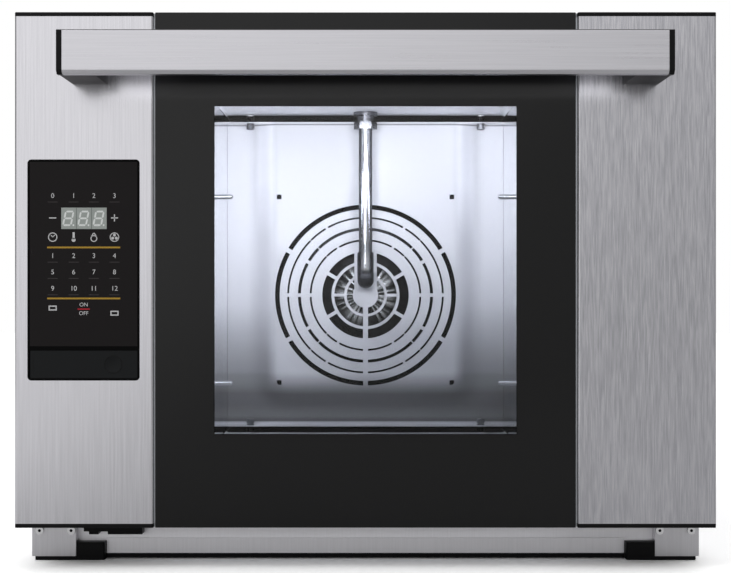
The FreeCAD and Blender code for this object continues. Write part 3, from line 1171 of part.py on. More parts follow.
# Flap over the data socket: turns on two small pins at its left edge, with a round finger dimple
flap = box(flap_px, px1 - fit, y_front + FASCIA_SUNK, y_shelf, flap_z0, flap_z1)
flap = flap.fuse(rod("z", flap_px, flap_py, FASCIA_T / 2.0, flap_z0, flap_z1))
flap = flap.fuse(rod("z", flap_px, flap_py, FLAP_PIN_R, flap_z0 - FLAP_PIN_L, flap_z1 + FLAP_PIN_L))
ball = (DIMPLE_R ** 2 + DIMPLE_DEPTH ** 2) / (2 * DIMPLE_DEPTH)
y_ball = y_front + FASCIA_SUNK + DIMPLE_DEPTH - ball
dimple = Part.makeSphere(ball, vec(cx1 - DIMPLE_INSET, y_ball, (flap_z0 + flap_z1) / 2.0))
save("usb_flap", flap.cut(dimple).removeSplitter())
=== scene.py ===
import math
import bmesh
import bpy
from mathutils import Matrix, Vector


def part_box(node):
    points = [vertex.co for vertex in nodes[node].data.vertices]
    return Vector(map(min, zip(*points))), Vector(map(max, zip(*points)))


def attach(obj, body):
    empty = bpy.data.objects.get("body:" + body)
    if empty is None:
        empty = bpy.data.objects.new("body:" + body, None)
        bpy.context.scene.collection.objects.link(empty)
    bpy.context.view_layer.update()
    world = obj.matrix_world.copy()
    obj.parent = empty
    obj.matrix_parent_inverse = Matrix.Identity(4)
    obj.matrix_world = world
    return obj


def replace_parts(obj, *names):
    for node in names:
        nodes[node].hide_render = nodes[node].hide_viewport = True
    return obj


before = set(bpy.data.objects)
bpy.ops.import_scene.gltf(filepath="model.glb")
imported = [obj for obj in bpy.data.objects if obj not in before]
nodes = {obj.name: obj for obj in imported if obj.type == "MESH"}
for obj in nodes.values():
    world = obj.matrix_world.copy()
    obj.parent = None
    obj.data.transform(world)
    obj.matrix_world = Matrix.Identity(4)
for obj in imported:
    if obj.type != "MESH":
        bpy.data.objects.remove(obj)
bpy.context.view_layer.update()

# Base: a tray folded from stainless sheet with a stepped front rail, and two folded end plates screwed on
# in front of its corners. The sheet is belt-ground upright, and the plates' cut edges are broken.
MM = 0.001


def linear(hex_code):
    """sRGB hex value as the linear colour that a shader socket takes."""
    channels = [int(hex_code[i:i + 2], 16) / 255.0 for i in (1, 3, 5)]
    return [c / 12.92 if c <= 0.04045 else ((c + 0.055) / 1.055) ** 2.4 for c in channels] + [1.0]


def add(owner, kind, inputs, stops=(), **settings):
    """Adds a shader node with its settings, its ramp stops and its sockets' values or links."""
    shader = owner.node_tree.nodes.new(kind)
    for name, value in settings.items():
        setattr(shader, name, value)
    for i, (position, colour) in enumerate(stops):
        ramp = shader.color_ramp.elements
        element = ramp[i] if i < len(ramp) else ramp.new(position)
        element.position = position
        element.color = linear(colour) if isinstance(colour, str) else (colour, colour, colour, 1.0)
    for socket, value in inputs.items():
        if isinstance(value, bpy.types.NodeSocket):
            owner.node_tree.links.new(value, shader.inputs[socket])
        else:
            shader.inputs[socket].default_value = value
    return shader


def finish(name, **values):
    """New material; each Principled socket (underscores for spaces) gets its value."""
    material = bpy.data.materials.new(name)
    material.use_nodes = True
    shader = material.node_tree.nodes["Principled BSDF"]
    for socket, value in values.items():
        shader.inputs[socket.replace("_", " ")].default_value = value
    return material


def feed(material, **outputs):
    """Links node outputs to the Principled sockets."""
    shader = material.node_tree.nodes["Principled BSDF"]
    for socket, output in outputs.items():
        material.node_tree.links.new(output, shader.inputs[socket.replace("_", " ")])


def cells(material, x, y, z):
    """Object coordinates scaled so that one pattern unit is x by y by z millimetres."""
    place = add(material, "ShaderNodeTexCoord", {}).outputs["Object"]
    scale = (1.0 / (x * MM), 1.0 / (y * MM), 1.0 / (z * MM))
    return add(material, "ShaderNodeMapping", {"Vector": place, "Scale": scale}).outputs["Vector"]


def brushed_steel(name, dark, light, along, streak, roughness):
    """Belt-ground stainless steel: straight scratches along one axis that catch the light unevenly.
    Real scratches are about 0.1 mm wide; they are drawn as streaks wide enough to show."""
    steel = finish(name, Metallic=1.0)
    width, length = streak
    size = [length if axis == along else width for axis in range(3)]
    scratch = add(steel, "ShaderNodeTexNoise", {"Vector": cells(steel, *size), "Scale": 1.0, "Detail": 3.0})
    scratch = scratch.outputs["Fac"]
    tone = add(steel, "ShaderNodeValToRGB", {"Fac": scratch}, stops=((0.28, dark), (0.72, light)))
    rough = add(steel, "ShaderNodeMapRange", {"Value": scratch, "From Min": 0.3, "From Max": 0.7,
                                              "To Min": roughness - 0.03, "To Max": roughness + 0.04})
    groove = add(steel, "ShaderNodeBump", {"Height": scratch, "Distance": 0.01 * MM, "Strength": 0.2})
    feed(steel, Base_Color=tone.outputs["Color"], Roughness=rough.outputs["Result"], Normal=groove.outputs["Normal"])
    return steel


def new_piece(name, form, material, body):
    """Makes a bmesh an object at the origin that rides on a body."""
    mesh = bpy.data.meshes.new(name)
    form.to_mesh(mesh)
    form.free()
    mesh.materials.append(material)
    piece = bpy.data.objects.new(name, mesh)
    bpy.context.scene.collection.objects.link(piece)
    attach(piece, body)
    return piece


def fine_copy(node, material, body, edge_mm):
    """Copy of a CAD node with its triangles joined, its sharp edges broken to edge_mm, and even shading."""
    form = bmesh.new()
    form.from_mesh(nodes[node].data)
    bmesh.ops.remove_doubles(form, verts=form.verts, dist=0.002 * MM)
    bmesh.ops.dissolve_limit(form, angle_limit=math.radians(0.3), verts=form.verts, edges=form.edges)
    for face in form.faces:
        face.smooth = True
    piece = new_piece(node + "_finish", form, material, body)
    if edge_mm:
        edge = piece.modifiers.new("broken_edge", "BEVEL")
        edge.width = edge_mm * MM
        edge.segments = 2
        edge.limit_method = "ANGLE"
        edge.angle_limit = math.radians(50)
        edge.use_clamp_overlap = True
    else:
        piece.data.set_sharp_from_angle(angle=math.radians(35))
    even = piece.modifiers.new("even_shading", "WEIGHTED_NORMAL")
    even.keep_sharp = True
    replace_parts(piece, node)
    return piece


# The rail's steel is drawn paler than the end plates' steel: painted light on the rail, painted shade on the plates.
lit_rail_steel = brushed_steel("brushed_steel_rail", "#eeedf1", "#f4f3f7", 2, (1.5, 60.0), 0.44)
shaded_plate_steel = brushed_steel("brushed_steel_plate", "#d0cfd3", "#d9d8dc", 2, (1.5, 60.0), 0.34)
fine_copy("base_frame", lit_rail_steel, "oven", 0.0)
fine_copy("base_end_plates", shaded_plate_steel, "oven", 0.35)


# Feet, guard strip and cable duct: injection-moulded black polyamide, pressed or screwed to the tray.
# A spark-eroded mould leaves a fine matt grain.
def moulded_plastic(name, colour, wear_and_painted_shade, roughness, grain_mm, shine=0.3):
    """Moulded plastic with an eroded grain, and a faint cloudiness from handling.
    The real grain is about 0.1 mm; it is drawn coarse enough to show."""
    plastic = finish(name, Specular_IOR_Level=shine)
    pit = add(plastic, "ShaderNodeTexNoise", {"Vector": cells(plastic, grain_mm, grain_mm, grain_mm), "Scale": 1.0})
    cloud = add(plastic, "ShaderNodeTexNoise", {"Vector": cells(plastic, 38.0, 38.0, 38.0), "Scale": 1.0,
                                                "Detail": 3.0})
    tone = add(plastic, "ShaderNodeValToRGB", {"Fac": cloud.outputs["Fac"]}, stops=((0.3, colour), (0.75, wear_and_painted_shade)))
    rough = add(plastic, "ShaderNodeMapRange", {"Value": cloud.outputs["Fac"], "From Min": 0.3, "From Max": 0.7,
                                                "To Min": roughness - 0.04, "To Max": roughness + 0.07})
    grain = add(plastic, "ShaderNodeBump", {"Height": pit.outputs["Fac"], "Distance": 0.04 * MM, "Strength": 0.3})
    feed(plastic, Base_Color=tone.outputs["Color"], Roughness=rough.outputs["Result"], Normal=grain.outputs["Normal"])
    return plastic


black_polyamide = moulded_plastic("black_polyamide", "#08080a", "#0d0d0f", 0.42, 0.7, 0.15)
fine_copy("base_edge_strip", black_polyamide, "oven", 0.3)
fine_copy("feet", black_polyamide, "oven", 0.6)
fine_copy("cable_duct", black_polyamide, "oven", 0.4)


# Fasteners and small fittings of the covers, handle, hinges, fan and inner pane: headed, turned or pressed
# steel with bright zinc, cloudy where the plating settled.
def dress(material, *names):
    """Gives CAD nodes a material."""
    for name in names:
        slots = nodes[name].data.materials
        slots.clear()
        slots.append(material)


zinc = finish("bright_zinc", Metallic=1.0)
bloom = add(zinc, "ShaderNodeTexNoise", {"Vector": cells(zinc, 1.6, 1.6, 1.6), "Scale": 1.0}).outputs["Fac"]
zinc_tone = add(zinc, "ShaderNodeValToRGB", {"Fac": bloom}, stops=((0.3, "#b9bbbf"), (0.7, "#d6d8dc")))
zinc_rough = add(zinc, "ShaderNodeMapRange", {"Value": bloom, "From Min": 0.3, "From Max": 0.7,
                                              "To Min": 0.16, "To Max": 0.28})
feed(zinc, Base_Color=zinc_tone.outputs["Color"], Roughness=zinc_rough.outputs["Result"])
dress(zinc, "handle_screws", "hinge_pins", "fan_nut", "fan_shaft", "glass_clips")

# End plate screws: polished steel screws with a hexagon socket, driven through the end plates into the
# tray's rail. The socket lies in shadow, so the tone darkens with the depth below the head's face.
SOCKET_START = 0.3 * MM
SOCKET_DEEP = 1.2 * MM
bright_screw = finish("polished_screw_steel", Metallic=1.0)
screw_place = add(bright_screw, "ShaderNodeTexCoord", {}).outputs["Object"]
screw_depth = add(bright_screw, "ShaderNodeSeparateXYZ", {"Vector": screw_place}).outputs["Y"]
screw_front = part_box("end_plate_screws")[0].y
sunk = add(bright_screw, "ShaderNodeMapRange", {"Value": screw_depth, "From Min": screw_front + SOCKET_START,
                                                "From Max": screw_front + SOCKET_DEEP}).outputs["Result"]
screw_tone = add(bright_screw, "ShaderNodeValToRGB", {"Fac": sunk}, stops=((0.2, "#f2f2f4"), (0.8, "#1a1a1c")))
screw_rough = add(bright_screw, "ShaderNodeMapRange", {"Value": sunk, "To Min": 0.08, "To Max": 0.4})
feed(bright_screw, Base_Color=screw_tone.outputs["Color"], Roughness=screw_rough.outputs["Result"])
fine_copy("end_plate_screws", bright_screw, "oven", 0.0)


# Hinge brackets and leaves, motor plate, board tray, probe and vent pipe: mill-finish stainless sheet and
# tube, cut, folded or drawn, and screwed or welded in place. It is satin, with slow clouds.
def satin_steel(name, dark, light, low, high):
    """Rolled stainless sheet as it comes from the mill, with slow clouds and a fine tooth.
    The real tooth is under 0.1 mm; it is drawn coarse enough to show."""
    sheet = finish(name, Metallic=1.0)
    cloud = add(sheet, "ShaderNodeTexNoise", {"Vector": cells(sheet, 90.0, 90.0, 140.0), "Scale": 1.0,
                                              "Detail": 3.0})
    tooth = add(sheet, "ShaderNodeTexNoise", {"Vector": cells(sheet, 0.8, 0.8, 0.8), "Scale": 1.0})
    tone = add(sheet, "ShaderNodeValToRGB", {"Fac": cloud.outputs["Fac"]}, stops=((0.3, dark), (0.7, light)))
    rough = add(sheet, "ShaderNodeMapRange", {"Value": cloud.outputs["Fac"], "From Min": 0.3, "From Max": 0.7,
                                              "To Min": low, "To Max": high})
    bite = add(sheet, "ShaderNodeBump", {"Height": tooth.outputs["Fac"], "Distance": 0.02 * MM, "Strength": 0.12})
    feed(sheet, Base_Color=tone.outputs["Color"], Roughness=rough.outputs["Result"], Normal=bite.outputs["Normal"])
    return sheet


sheet_steel = satin_steel("mill_finish_steel", "#a6a8ab", "#bfc1c4", 0.30, 0.42)
dress(sheet_steel, "hinge_brackets", "hinge_leaves", "motor_plate", "board_tray", "temperature_probe")
fine_copy("vent_pipe", sheet_steel, "oven", 0.0)

# Casing: front frame, two slotted side panels, top and rear cover of brushed stainless sheet.
# The grain runs upright on the sides, front and rear, and from front to rear on the top.
case_steel = brushed_steel("brushed_steel_case", "#b2b2b6", "#c6c6ca", 2, (1.6, 60.0), 0.34)
dress(case_steel, "front_frame", "rear_cover", "side_panel_left", "side_panel_right")
dress(brushed_steel("brushed_steel_top", "#b4b4b8", "#c6c6ca", 1, (1.6, 60.0), 0.34), "top_cover")


# Casing screws: pan-head screws with a round driver socket, along the edges of the covers.
# The head is turned as one profile and set on each cover's face.
def turned(form, profile, steps):
    """Spins a (radius, height) profile in millimetres round Z and closes it where it meets the axis."""
    verts = [form.verts.new((r * MM, 0.0, z * MM)) for r, z in profile]
    edges = [form.edges.new(pair) for pair in zip(verts, verts[1:])]
    bmesh.ops.spin(form, geom=verts + edges, axis=(0, 0, 1), cent=(0, 0, 0), steps=steps,
                   angle=2 * math.pi, use_merge=True)
    bmesh.ops.remove_doubles(form, verts=form.verts, dist=0.001 * MM)
    bmesh.ops.recalc_face_normals(form, faces=form.faces)


def pour(form, part):
    """Adds one bmesh to another and frees it."""
    carrier = bpy.data.meshes.new("carrier")
    part.to_mesh(carrier)
    part.free()
    form.from_mesh(carrier)
    bpy.data.meshes.remove(carrier)


SCREW_PROFILE = ((0.0, 1.0), (1.3, 1.0), (1.3, 1.8), (2.4, 1.7), (3.3, 1.2), (3.6, 0.6), (3.6, 0.0))
EDGE_INSET = 12 * MM
SIDE_HEIGHTS = (0.062, 0.25, 0.45)
TOP_COLUMNS = (-0.28, 0.0, 0.28)
REAR_COLUMNS = (-0.284, 0.284)
REAR_HEIGHTS = (0.05, 0.17, 0.25, 0.36, 0.462)
side_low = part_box("side_panel_left")[0]
side_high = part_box("side_panel_right")[1]
cover_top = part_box("top_cover")[1].z
cover_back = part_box("rear_cover")[1].y
seats = []
for y in (side_low.y + EDGE_INSET, side_high.y - EDGE_INSET):
    for z in SIDE_HEIGHTS:
        seats.append((Vector((side_low.x, y, z)), Vector((-1, 0, 0))))
        seats.append((Vector((side_high.x, y, z)), Vector((1, 0, 0))))
    for x in TOP_COLUMNS:
        seats.append((Vector((x, y, cover_top)), Vector((0, 0, 1))))
for x in REAR_COLUMNS:
    for z in REAR_HEIGHTS:
        seats.append((Vector((x, cover_back, z)), Vector((0, 1, 0))))
casing_screws = bmesh.new()
for seat, out in seats:
    head = bmesh.new()
    turned(head, SCREW_PROFILE, 20)
    turn = Vector((0, 0, 1)).rotation_difference(out).to_matrix().to_4x4()
    bmesh.ops.transform(head, matrix=Matrix.Translation(seat) @ turn, verts=head.verts)
    pour(casing_screws, head)
new_piece("casing_screws", casing_screws, zinc, "oven")

# Chamber: folded and welded from stainless sheet, satin on the roof, floor and rear, polished on the side
# walls, which mirror the fan panel. From the panel's plane back, roof, floor and rear are painted almost
# black, as painted shade behind the panel. The painted shade's edge leans forward off roof and floor, so
# that it takes in the screw bosses.
WALL_POLISH = 0.07
WALL_BLEND = 0.4 * MM
SHADE_LEAN = -3.0
SHADE_START = -358.5 * MM
SHADE_FULL = -356.5 * MM
panel_low, panel_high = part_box("fan_panel")
chamber_steel = satin_steel("bright_annealed_steel", "#f0f1f4", "#f6f7fa", 0.62, 0.68)
bright = chamber_steel.node_tree.nodes["Color Ramp"].outputs["Color"]
satin = chamber_steel.node_tree.nodes["Map Range"].outputs["Result"]
chamber_place = add(chamber_steel, "ShaderNodeTexCoord", {}).outputs["Object"]
chamber_axes = add(chamber_steel, "ShaderNodeSeparateXYZ", {"Vector": chamber_place}).outputs
off_middle = add(chamber_steel, "ShaderNodeMath", {0: chamber_axes["X"]}, operation="ABSOLUTE").outputs["Value"]
inside = add(chamber_steel, "ShaderNodeMapRange", {"Value": off_middle, "From Min": panel_high.x + WALL_BLEND,
                                                   "From Max": panel_high.x}).outputs["Result"]
off_wall = add(chamber_steel, "ShaderNodeMath", {0: inside, 1: satin}, operation="MULTIPLY").outputs["Value"]
polish = add(chamber_steel, "ShaderNodeMath", {0: off_wall, 1: WALL_POLISH}, operation="MAXIMUM").outputs["Value"]
mid_height = (panel_low.z + panel_high.z) / 2
to_middle = add(chamber_steel, "ShaderNodeMath", {0: chamber_axes["Z"], 1: mid_height}, operation="SUBTRACT")
lift = add(chamber_steel, "ShaderNodeMath", {0: to_middle.outputs["Value"]}, operation="ABSOLUTE").outputs["Value"]
rearward = add(chamber_steel, "ShaderNodeMath", {0: lift, 1: SHADE_LEAN, 2: chamber_axes["Y"]},
               operation="MULTIPLY_ADD")
behind = add(chamber_steel, "ShaderNodeMapRange", {"Value": rearward.outputs["Value"], "From Min": SHADE_START,
                                                   "From Max": SHADE_FULL}).outputs["Result"]
# Painted shade: near-black behind the panel and on the screw bosses under its lips.
behind_shade_mask = add(chamber_steel, "ShaderNodeMath", {0: inside, 1: behind}, operation="MULTIPLY").outputs["Value"]
behind_shade_tone = add(chamber_steel, "ShaderNodeMix", {"Factor": behind_shade_mask, "A": bright, "B": linear("#121112")},
             data_type="RGBA")
feed(chamber_steel, Base_Color=behind_shade_tone.outputs["Result"], Roughness=polish)
dress(chamber_steel, "cavity_box")

# Rack studs: turned stainless pins with rounded ends, polished. They are welded to both walls and carry
# the tray supports.
polished_pin = satin_steel("turned_stainless", "#c6c8cc", "#dadce0", 0.14, 0.22)
fine_copy("rack_pins", polished_pin, "oven", 0.0)

# Fan panel: one stainless sheet, pressed to a softly raised field and laser-cut with ring slots. It is
# satin, with painted shade at its foot, on its lower border and in a thin band under its top lip, and a
# painted highlight on its upper folds. Its side edges are drawn nearer to the walls than the CAD's gap
# leaves them, because no gap shows on the real one.
FOLD_START, FOLD_END = 100 * MM, 140 * MM
BORDER_START, BORDER_FULL = 106 * MM, 120 * MM
HIGHLIGHT_START, HIGHLIGHT_FULL = 0.61, 0.80
GAP_CLOSED = 0.45 * MM
EDGE_BAND = 0.1 * MM
FLAT_AREA = 200 * MM * MM
panel_steel = satin_steel("pressed_panel_steel", "#e0e1e5", "#e5e6ea", 0.74, 0.80)
panel_bright = panel_steel.node_tree.nodes["Color Ramp"].outputs["Color"]
panel_place = add(panel_steel, "ShaderNodeTexCoord", {}).outputs["Object"]
panel_axes = add(panel_steel, "ShaderNodeSeparateXYZ", {"Vector": panel_place}).outputs
rise = add(panel_steel, "ShaderNodeMapRange", {"Value": panel_axes["Z"], "From Min": panel_low.z,
                                               "From Max": panel_high.z}).outputs["Result"]
# Painted shade by height: the foot is darkened, and so is a thin band just under the top lip.
wear_and_painted_shade = add(panel_steel, "ShaderNodeValToRGB", {"Fac": rise},
           stops=((0.011, 1.0), (0.015, 0.26), (0.032, 0.42), (0.07, 0.32), (0.105, 0.33), (0.178, 1.0),
                  (0.9885, 1.0), (0.9895, 0.35), (0.9935, 0.35), (0.9945, 1.0)))
panel_side = add(panel_steel, "ShaderNodeMath", {0: panel_axes["X"]}, operation="ABSOLUTE").outputs["Value"]
over_fold = add(panel_steel, "ShaderNodeMapRange", {"Value": panel_side, "From Min": FOLD_START,
                                                    "From Max": FOLD_END}).outputs["Result"]
fold = add(panel_steel, "ShaderNodeValToRGB", {"Fac": over_fold},
           stops=((0.20, 0.0), (0.36, 1.0), (0.70, 1.0), (0.86, 0.0))).outputs["Color"]
# Painted highlight: the upper folds are lifted towards a paler steel.
upper = add(panel_steel, "ShaderNodeMapRange", {"Value": rise, "From Min": HIGHLIGHT_START,
                                                "From Max": HIGHLIGHT_FULL}).outputs["Result"]
fold_highlight = add(panel_steel, "ShaderNodeMath", {0: fold, 1: upper}, operation="MULTIPLY").outputs["Value"]
highlighted = add(panel_steel, "ShaderNodeMix", {"Factor": fold_highlight, "A": panel_bright, "B": linear("#f6f7fb")},
             data_type="RGBA")
foot_shaded = add(panel_steel, "ShaderNodeMix", {"Factor": 1.0, "A": highlighted.outputs["Result"],
                                             "B": wear_and_painted_shade.outputs["Color"]}, data_type="RGBA", blend_type="MULTIPLY")
# Painted shade: the lower border beside the raised field is darkened.
border = add(panel_steel, "ShaderNodeMapRange", {"Value": panel_side, "From Min": BORDER_START,
                                                 "From Max": BORDER_FULL}).outputs["Result"]
border_shade = add(panel_steel, "ShaderNodeValToRGB", {"Fac": rise},
                  stops=((0.10, 1.0), (0.166, 0.62), (0.40, 1.0))).outputs["Color"]
border_tone = add(panel_steel, "ShaderNodeMix", {"Factor": border, "A": linear("#ffffff"), "B": border_shade},
                  data_type="RGBA")
toned = add(panel_steel, "ShaderNodeMix", {"Factor": 1.0, "A": foot_shaded.outputs["Result"],
                                           "B": border_tone.outputs["Result"]}, data_type="RGBA",
            blend_type="MULTIPLY")
feed(panel_steel, Base_Color=toned.outputs["Result"])
panel = fine_copy("fan_panel", panel_steel, "oven", 0.0)
for point in panel.data.vertices:
    if abs(point.co.x) > panel_high.x - EDGE_BAND:
        point.co.x += math.copysign(GAP_CLOSED, point.co.x)
for face in panel.data.polygons:
    face.use_smooth = face.area < FLAT_AREA

# Panel screws: knurled finger screws of stainless steel, through the panel's lips into the bosses.
# Each head is turned with a groove, and its rim is rolled to a row of flat teeth.
HEAD_PROFILE = ((0.0, 0.0), (4.4, 0.0), (4.7, 0.4), (4.7, 1.4), (3.6, 1.7), (3.6, 2.6), (4.5, 2.9), (4.5, 7.0),
                (4.1, 7.6), (2.4, 7.8), (2.4, 8.0), (0.0, 8.0))
HEAD_RADIUS = 5.0 * MM
SHANK_R = 2.5
RIM_FACE = 2.5 * MM * MM
TOOTH_MARGIN, TOOTH_RISE = 0.2 * MM, 0.4 * MM
PANEL_LIP = 1.0 * MM
fix_low, fix_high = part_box("panel_fixing_screws")
fix_y = (fix_low.y + fix_high.y) / 2
fix_x = fix_high.x - HEAD_RADIUS
finger_screws = bmesh.new()
for x in (-fix_x, fix_x):
    for seat_z, end_z, way in ((panel_high.z - PANEL_LIP, fix_high.z, -1),
                               (panel_low.z + PANEL_LIP, fix_low.z, 1)):
        head = bmesh.new()
        turned(head, HEAD_PROFILE, 24)
        flats = [f for f in head.faces if abs(f.normal.z) < 0.1 and f.calc_area() > RIM_FACE]
        bmesh.ops.inset_individual(head, faces=flats, thickness=TOOTH_MARGIN, depth=TOOTH_RISE)
        shank = bmesh.new()
        reach = abs(end_z - seat_z) / MM
        turned(shank, ((0.0, 0.0), (SHANK_R, 0.0), (SHANK_R, -reach), (0.0, -reach)), 20)
        pour(head, shank)
        if way < 0:
            bmesh.ops.rotate(head, matrix=Matrix.Rotation(math.pi, 3, "X"), verts=head.verts)
        bmesh.ops.translate(head, vec=(x, fix_y, seat_z), verts=head.verts)
        pour(finger_screws, head)
# Painted shade: the screws' steel is drawn darker than bright stainless, for the shade under the panel's lips.
screw_steel = satin_steel("shade_darkened_screw_steel", "#6f7176", "#8d8f94", 0.22, 0.32)
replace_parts(new_piece("finger_screws", finger_screws, screw_steel, "oven"), "panel_fixing_screws")

# Steam pipe with its sleeve: drawn tube, polished and chromed. It is mirror-bright in front; its flanks and
# its elbow are painted dark as painted reflection, and steam has dulled its sleeve. The union nut at the
# roof is satin nickel.
FLANK_START, FLANK_FULL = 4.2 * MM, 6.6 * MM
ELBOW_START, ELBOW_FULL = 22 * MM, 11 * MM
SLEEVE_START, SLEEVE_FULL = 60 * MM, 34 * MM
SLEEVE_ROUGH = 0.19
elbow_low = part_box("pipe_sleeve")[0].z
chrome = finish("polished_chrome", Metallic=1.0)
haze = add(chrome, "ShaderNodeTexNoise", {"Vector": cells(chrome, 6.0, 6.0, 30.0), "Scale": 1.0}).outputs["Fac"]
chrome_tone = add(chrome, "ShaderNodeValToRGB", {"Fac": haze}, stops=((0.3, "#cfd0d4"), (0.7, "#dfe0e4")))
chrome_rough = add(chrome, "ShaderNodeMapRange", {"Value": haze, "From Min": 0.3, "From Max": 0.7,
                                                  "To Min": 0.05, "To Max": 0.12})
chrome_place = add(chrome, "ShaderNodeTexCoord", {}).outputs["Object"]
chrome_axes = add(chrome, "ShaderNodeSeparateXYZ", {"Vector": chrome_place}).outputs
off_axis = add(chrome, "ShaderNodeMath", {0: chrome_axes["X"]}, operation="ABSOLUTE").outputs["Value"]
flank = add(chrome, "ShaderNodeMapRange", {"Value": off_axis, "From Min": FLANK_START,
                                           "From Max": FLANK_FULL}).outputs["Result"]
elbow = add(chrome, "ShaderNodeMapRange", {"Value": chrome_axes["Z"], "From Min": elbow_low + ELBOW_START,
                                           "From Max": elbow_low + ELBOW_FULL}).outputs["Result"]
# Painted reflection: the flanks and the elbow are darkened towards a dark grey.
dark_reflection = add(chrome, "ShaderNodeMath", {0: flank, 1: elbow}, operation="MAXIMUM").outputs["Value"]
pipe_tone = add(chrome, "ShaderNodeMix", {"Factor": dark_reflection, "A": chrome_tone.outputs["Color"],
                                          "B": linear("#4a4b4f")}, data_type="RGBA")
steamed = add(chrome, "ShaderNodeMapRange", {"Value": chrome_axes["Z"], "From Min": elbow_low + SLEEVE_START,
                                             "From Max": elbow_low + SLEEVE_FULL, "To Max": SLEEVE_ROUGH})
pipe_rough = add(chrome, "ShaderNodeMath", {0: chrome_rough.outputs["Result"], 1: steamed.outputs["Result"]},
                 operation="MAXIMUM")
feed(chrome, Base_Color=pipe_tone.outputs["Result"], Roughness=pipe_rough.outputs["Value"])
fine_copy("steam_pipe", chrome, "oven", 0.0)
fine_copy("pipe_sleeve", chrome, "oven", 0.0)
fine_copy("pipe_nut", satin_steel("satin_nickel", "#6c6d71", "#8b8c90", 0.16, 0.24), "oven", 0.5)

# Fan wheel, heater and motor behind the panel: pressed steel wheel with painted light and shade as bright
# and dark facets near the shaft and painted shade further out, oxidised nickel-alloy heater tube, and an
# enamelled motor with its shaft seal.
OUTER_SHADE_START, OUTER_SHADE_FULL = 24 * MM, 42 * MM
FACET_SCALE = 7.0
wheel_steel = satin_steel("fan_wheel_steel", "#8f9195", "#c2c4c8", 0.18, 0.28)
wheel_low, wheel_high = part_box("fan_wheel")
wheel_centre = (wheel_low + wheel_high) / 2
wheel_place = add(wheel_steel, "ShaderNodeTexCoord", {}).outputs["Object"]
from_shaft = add(wheel_steel, "ShaderNodeVectorMath", {0: wheel_place, 1: wheel_centre}, operation="SUBTRACT")
across = add(wheel_steel, "ShaderNodeVectorMath", {0: from_shaft.outputs["Vector"], 1: (1.0, 0.0, 1.0)},
             operation="MULTIPLY").outputs["Vector"]
radius = add(wheel_steel, "ShaderNodeVectorMath", {0: across}, operation="LENGTH").outputs["Value"]
# Painted shade: the wheel turns near-black further out from the shaft.
outer_shade = add(wheel_steel, "ShaderNodeMapRange", {"Value": radius, "From Min": OUTER_SHADE_START,
                                                 "From Max": OUTER_SHADE_FULL}).outputs["Result"]
# Painted light and shade: bright and dark facets by angle round the shaft.
spoke = add(wheel_steel, "ShaderNodeVectorMath", {0: across}, operation="NORMALIZE").outputs["Vector"]
facet_light = add(wheel_steel, "ShaderNodeTexNoise", {"Vector": spoke, "Scale": FACET_SCALE,
                                                "Detail": 2.0}).outputs["Fac"]
facet_light_tone = add(wheel_steel, "ShaderNodeValToRGB", {"Fac": facet_light}, stops=((0.44, "#242527"), (0.56, "#d4d6da")))
wheel_tone = add(wheel_steel, "ShaderNodeMix", {"Factor": outer_shade, "A": facet_light_tone.outputs["Color"],
                                                "B": linear("#1c1c1e")}, data_type="RGBA")
feed(wheel_steel, Base_Color=wheel_tone.outputs["Result"])
fine_copy("fan_wheel", wheel_steel, "fan", 0.0)
sheath = finish("oxidised_heater_tube", Metallic=0.8)
scale_film = add(sheath, "ShaderNodeTexNoise", {"Vector": cells(sheath, 14.0, 14.0, 14.0), "Scale": 1.0,
                                                "Detail": 3.0}).outputs["Fac"]
sheath_tone = add(sheath, "ShaderNodeValToRGB", {"Fac": scale_film}, stops=((0.3, "#26221f"), (0.7, "#40382f")))
sheath_rough = add(sheath, "ShaderNodeMapRange", {"Value": scale_film, "To Min": 0.35, "To Max": 0.65})
feed(sheath, Base_Color=sheath_tone.outputs["Color"], Roughness=sheath_rough.outputs["Result"])
dress(sheath, "heating_element")
dress(moulded_plastic("motor_enamel", "#1e2023", "#2b2d31", 0.40, 1.2), "fan_motor")
dress(moulded_plastic("phenolic_resin", "#1c1918", "#262220", 0.50, 0.9), "shaft_seal", "safety_thermostat")

# Insulation: slabs of needled mineral wool packed round the chamber and behind it, held by the casing.
# It is dull khaki with pale fibres.
wool = finish("mineral_wool", Roughness=1.0, Specular_IOR_Level=0.1)
fibre = add(wool, "ShaderNodeTexNoise", {"Vector": cells(wool, 18.0, 1.2, 1.2), "Scale": 1.0, "Detail": 6.0})
tuft = add(wool, "ShaderNodeTexNoise", {"Vector": cells(wool, 9.0, 9.0, 9.0), "Scale": 1.0, "Detail": 5.0})
wool_tone = add(wool, "ShaderNodeValToRGB", {"Fac": fibre.outputs["Fac"]},
                stops=((0.25, "#857d62"), (0.75, "#b3ab8c")))
wool_pile = add(wool, "ShaderNodeBump", {"Height": tuft.outputs["Fac"], "Distance": 2.5 * MM, "Strength": 0.8})
feed(wool, Base_Color=wool_tone.outputs["Color"], Normal=wool_pile.outputs["Normal"])
dress(wool, "insulation_jacket", "insulation_rear")

# Water inlet, supply and cooling fan at the rear: moulded polyamide valve, gland and terminal block, a
# silicone hose from the valve's port up to the steam pipe, and a black plastic fan in its frame.
white_polyamide = moulded_plastic("white_polyamide", "#c6c6bf", "#d2d2cc", 0.40, 0.8)
fine_copy("water_valve", white_polyamide, "oven", 0.4)
dress(white_polyamide, "terminal_block")
silicone_hose = moulded_plastic("silicone_hose", "#3a4046", "#4a5158", 0.52, 0.6)
fine_copy("water_hose", silicone_hose, "oven", 0.0)
grey_polyamide = moulded_plastic("grey_polyamide", "#37383b", "#454649", 0.45, 0.7)
fine_copy("cable_gland", grey_polyamide, "oven", 0.4)
dress(moulded_plastic("fan_plastic", "#141517", "#1c1d20", 0.44, 0.8), "cooling_fan_frame", "cooling_fan_rotor")


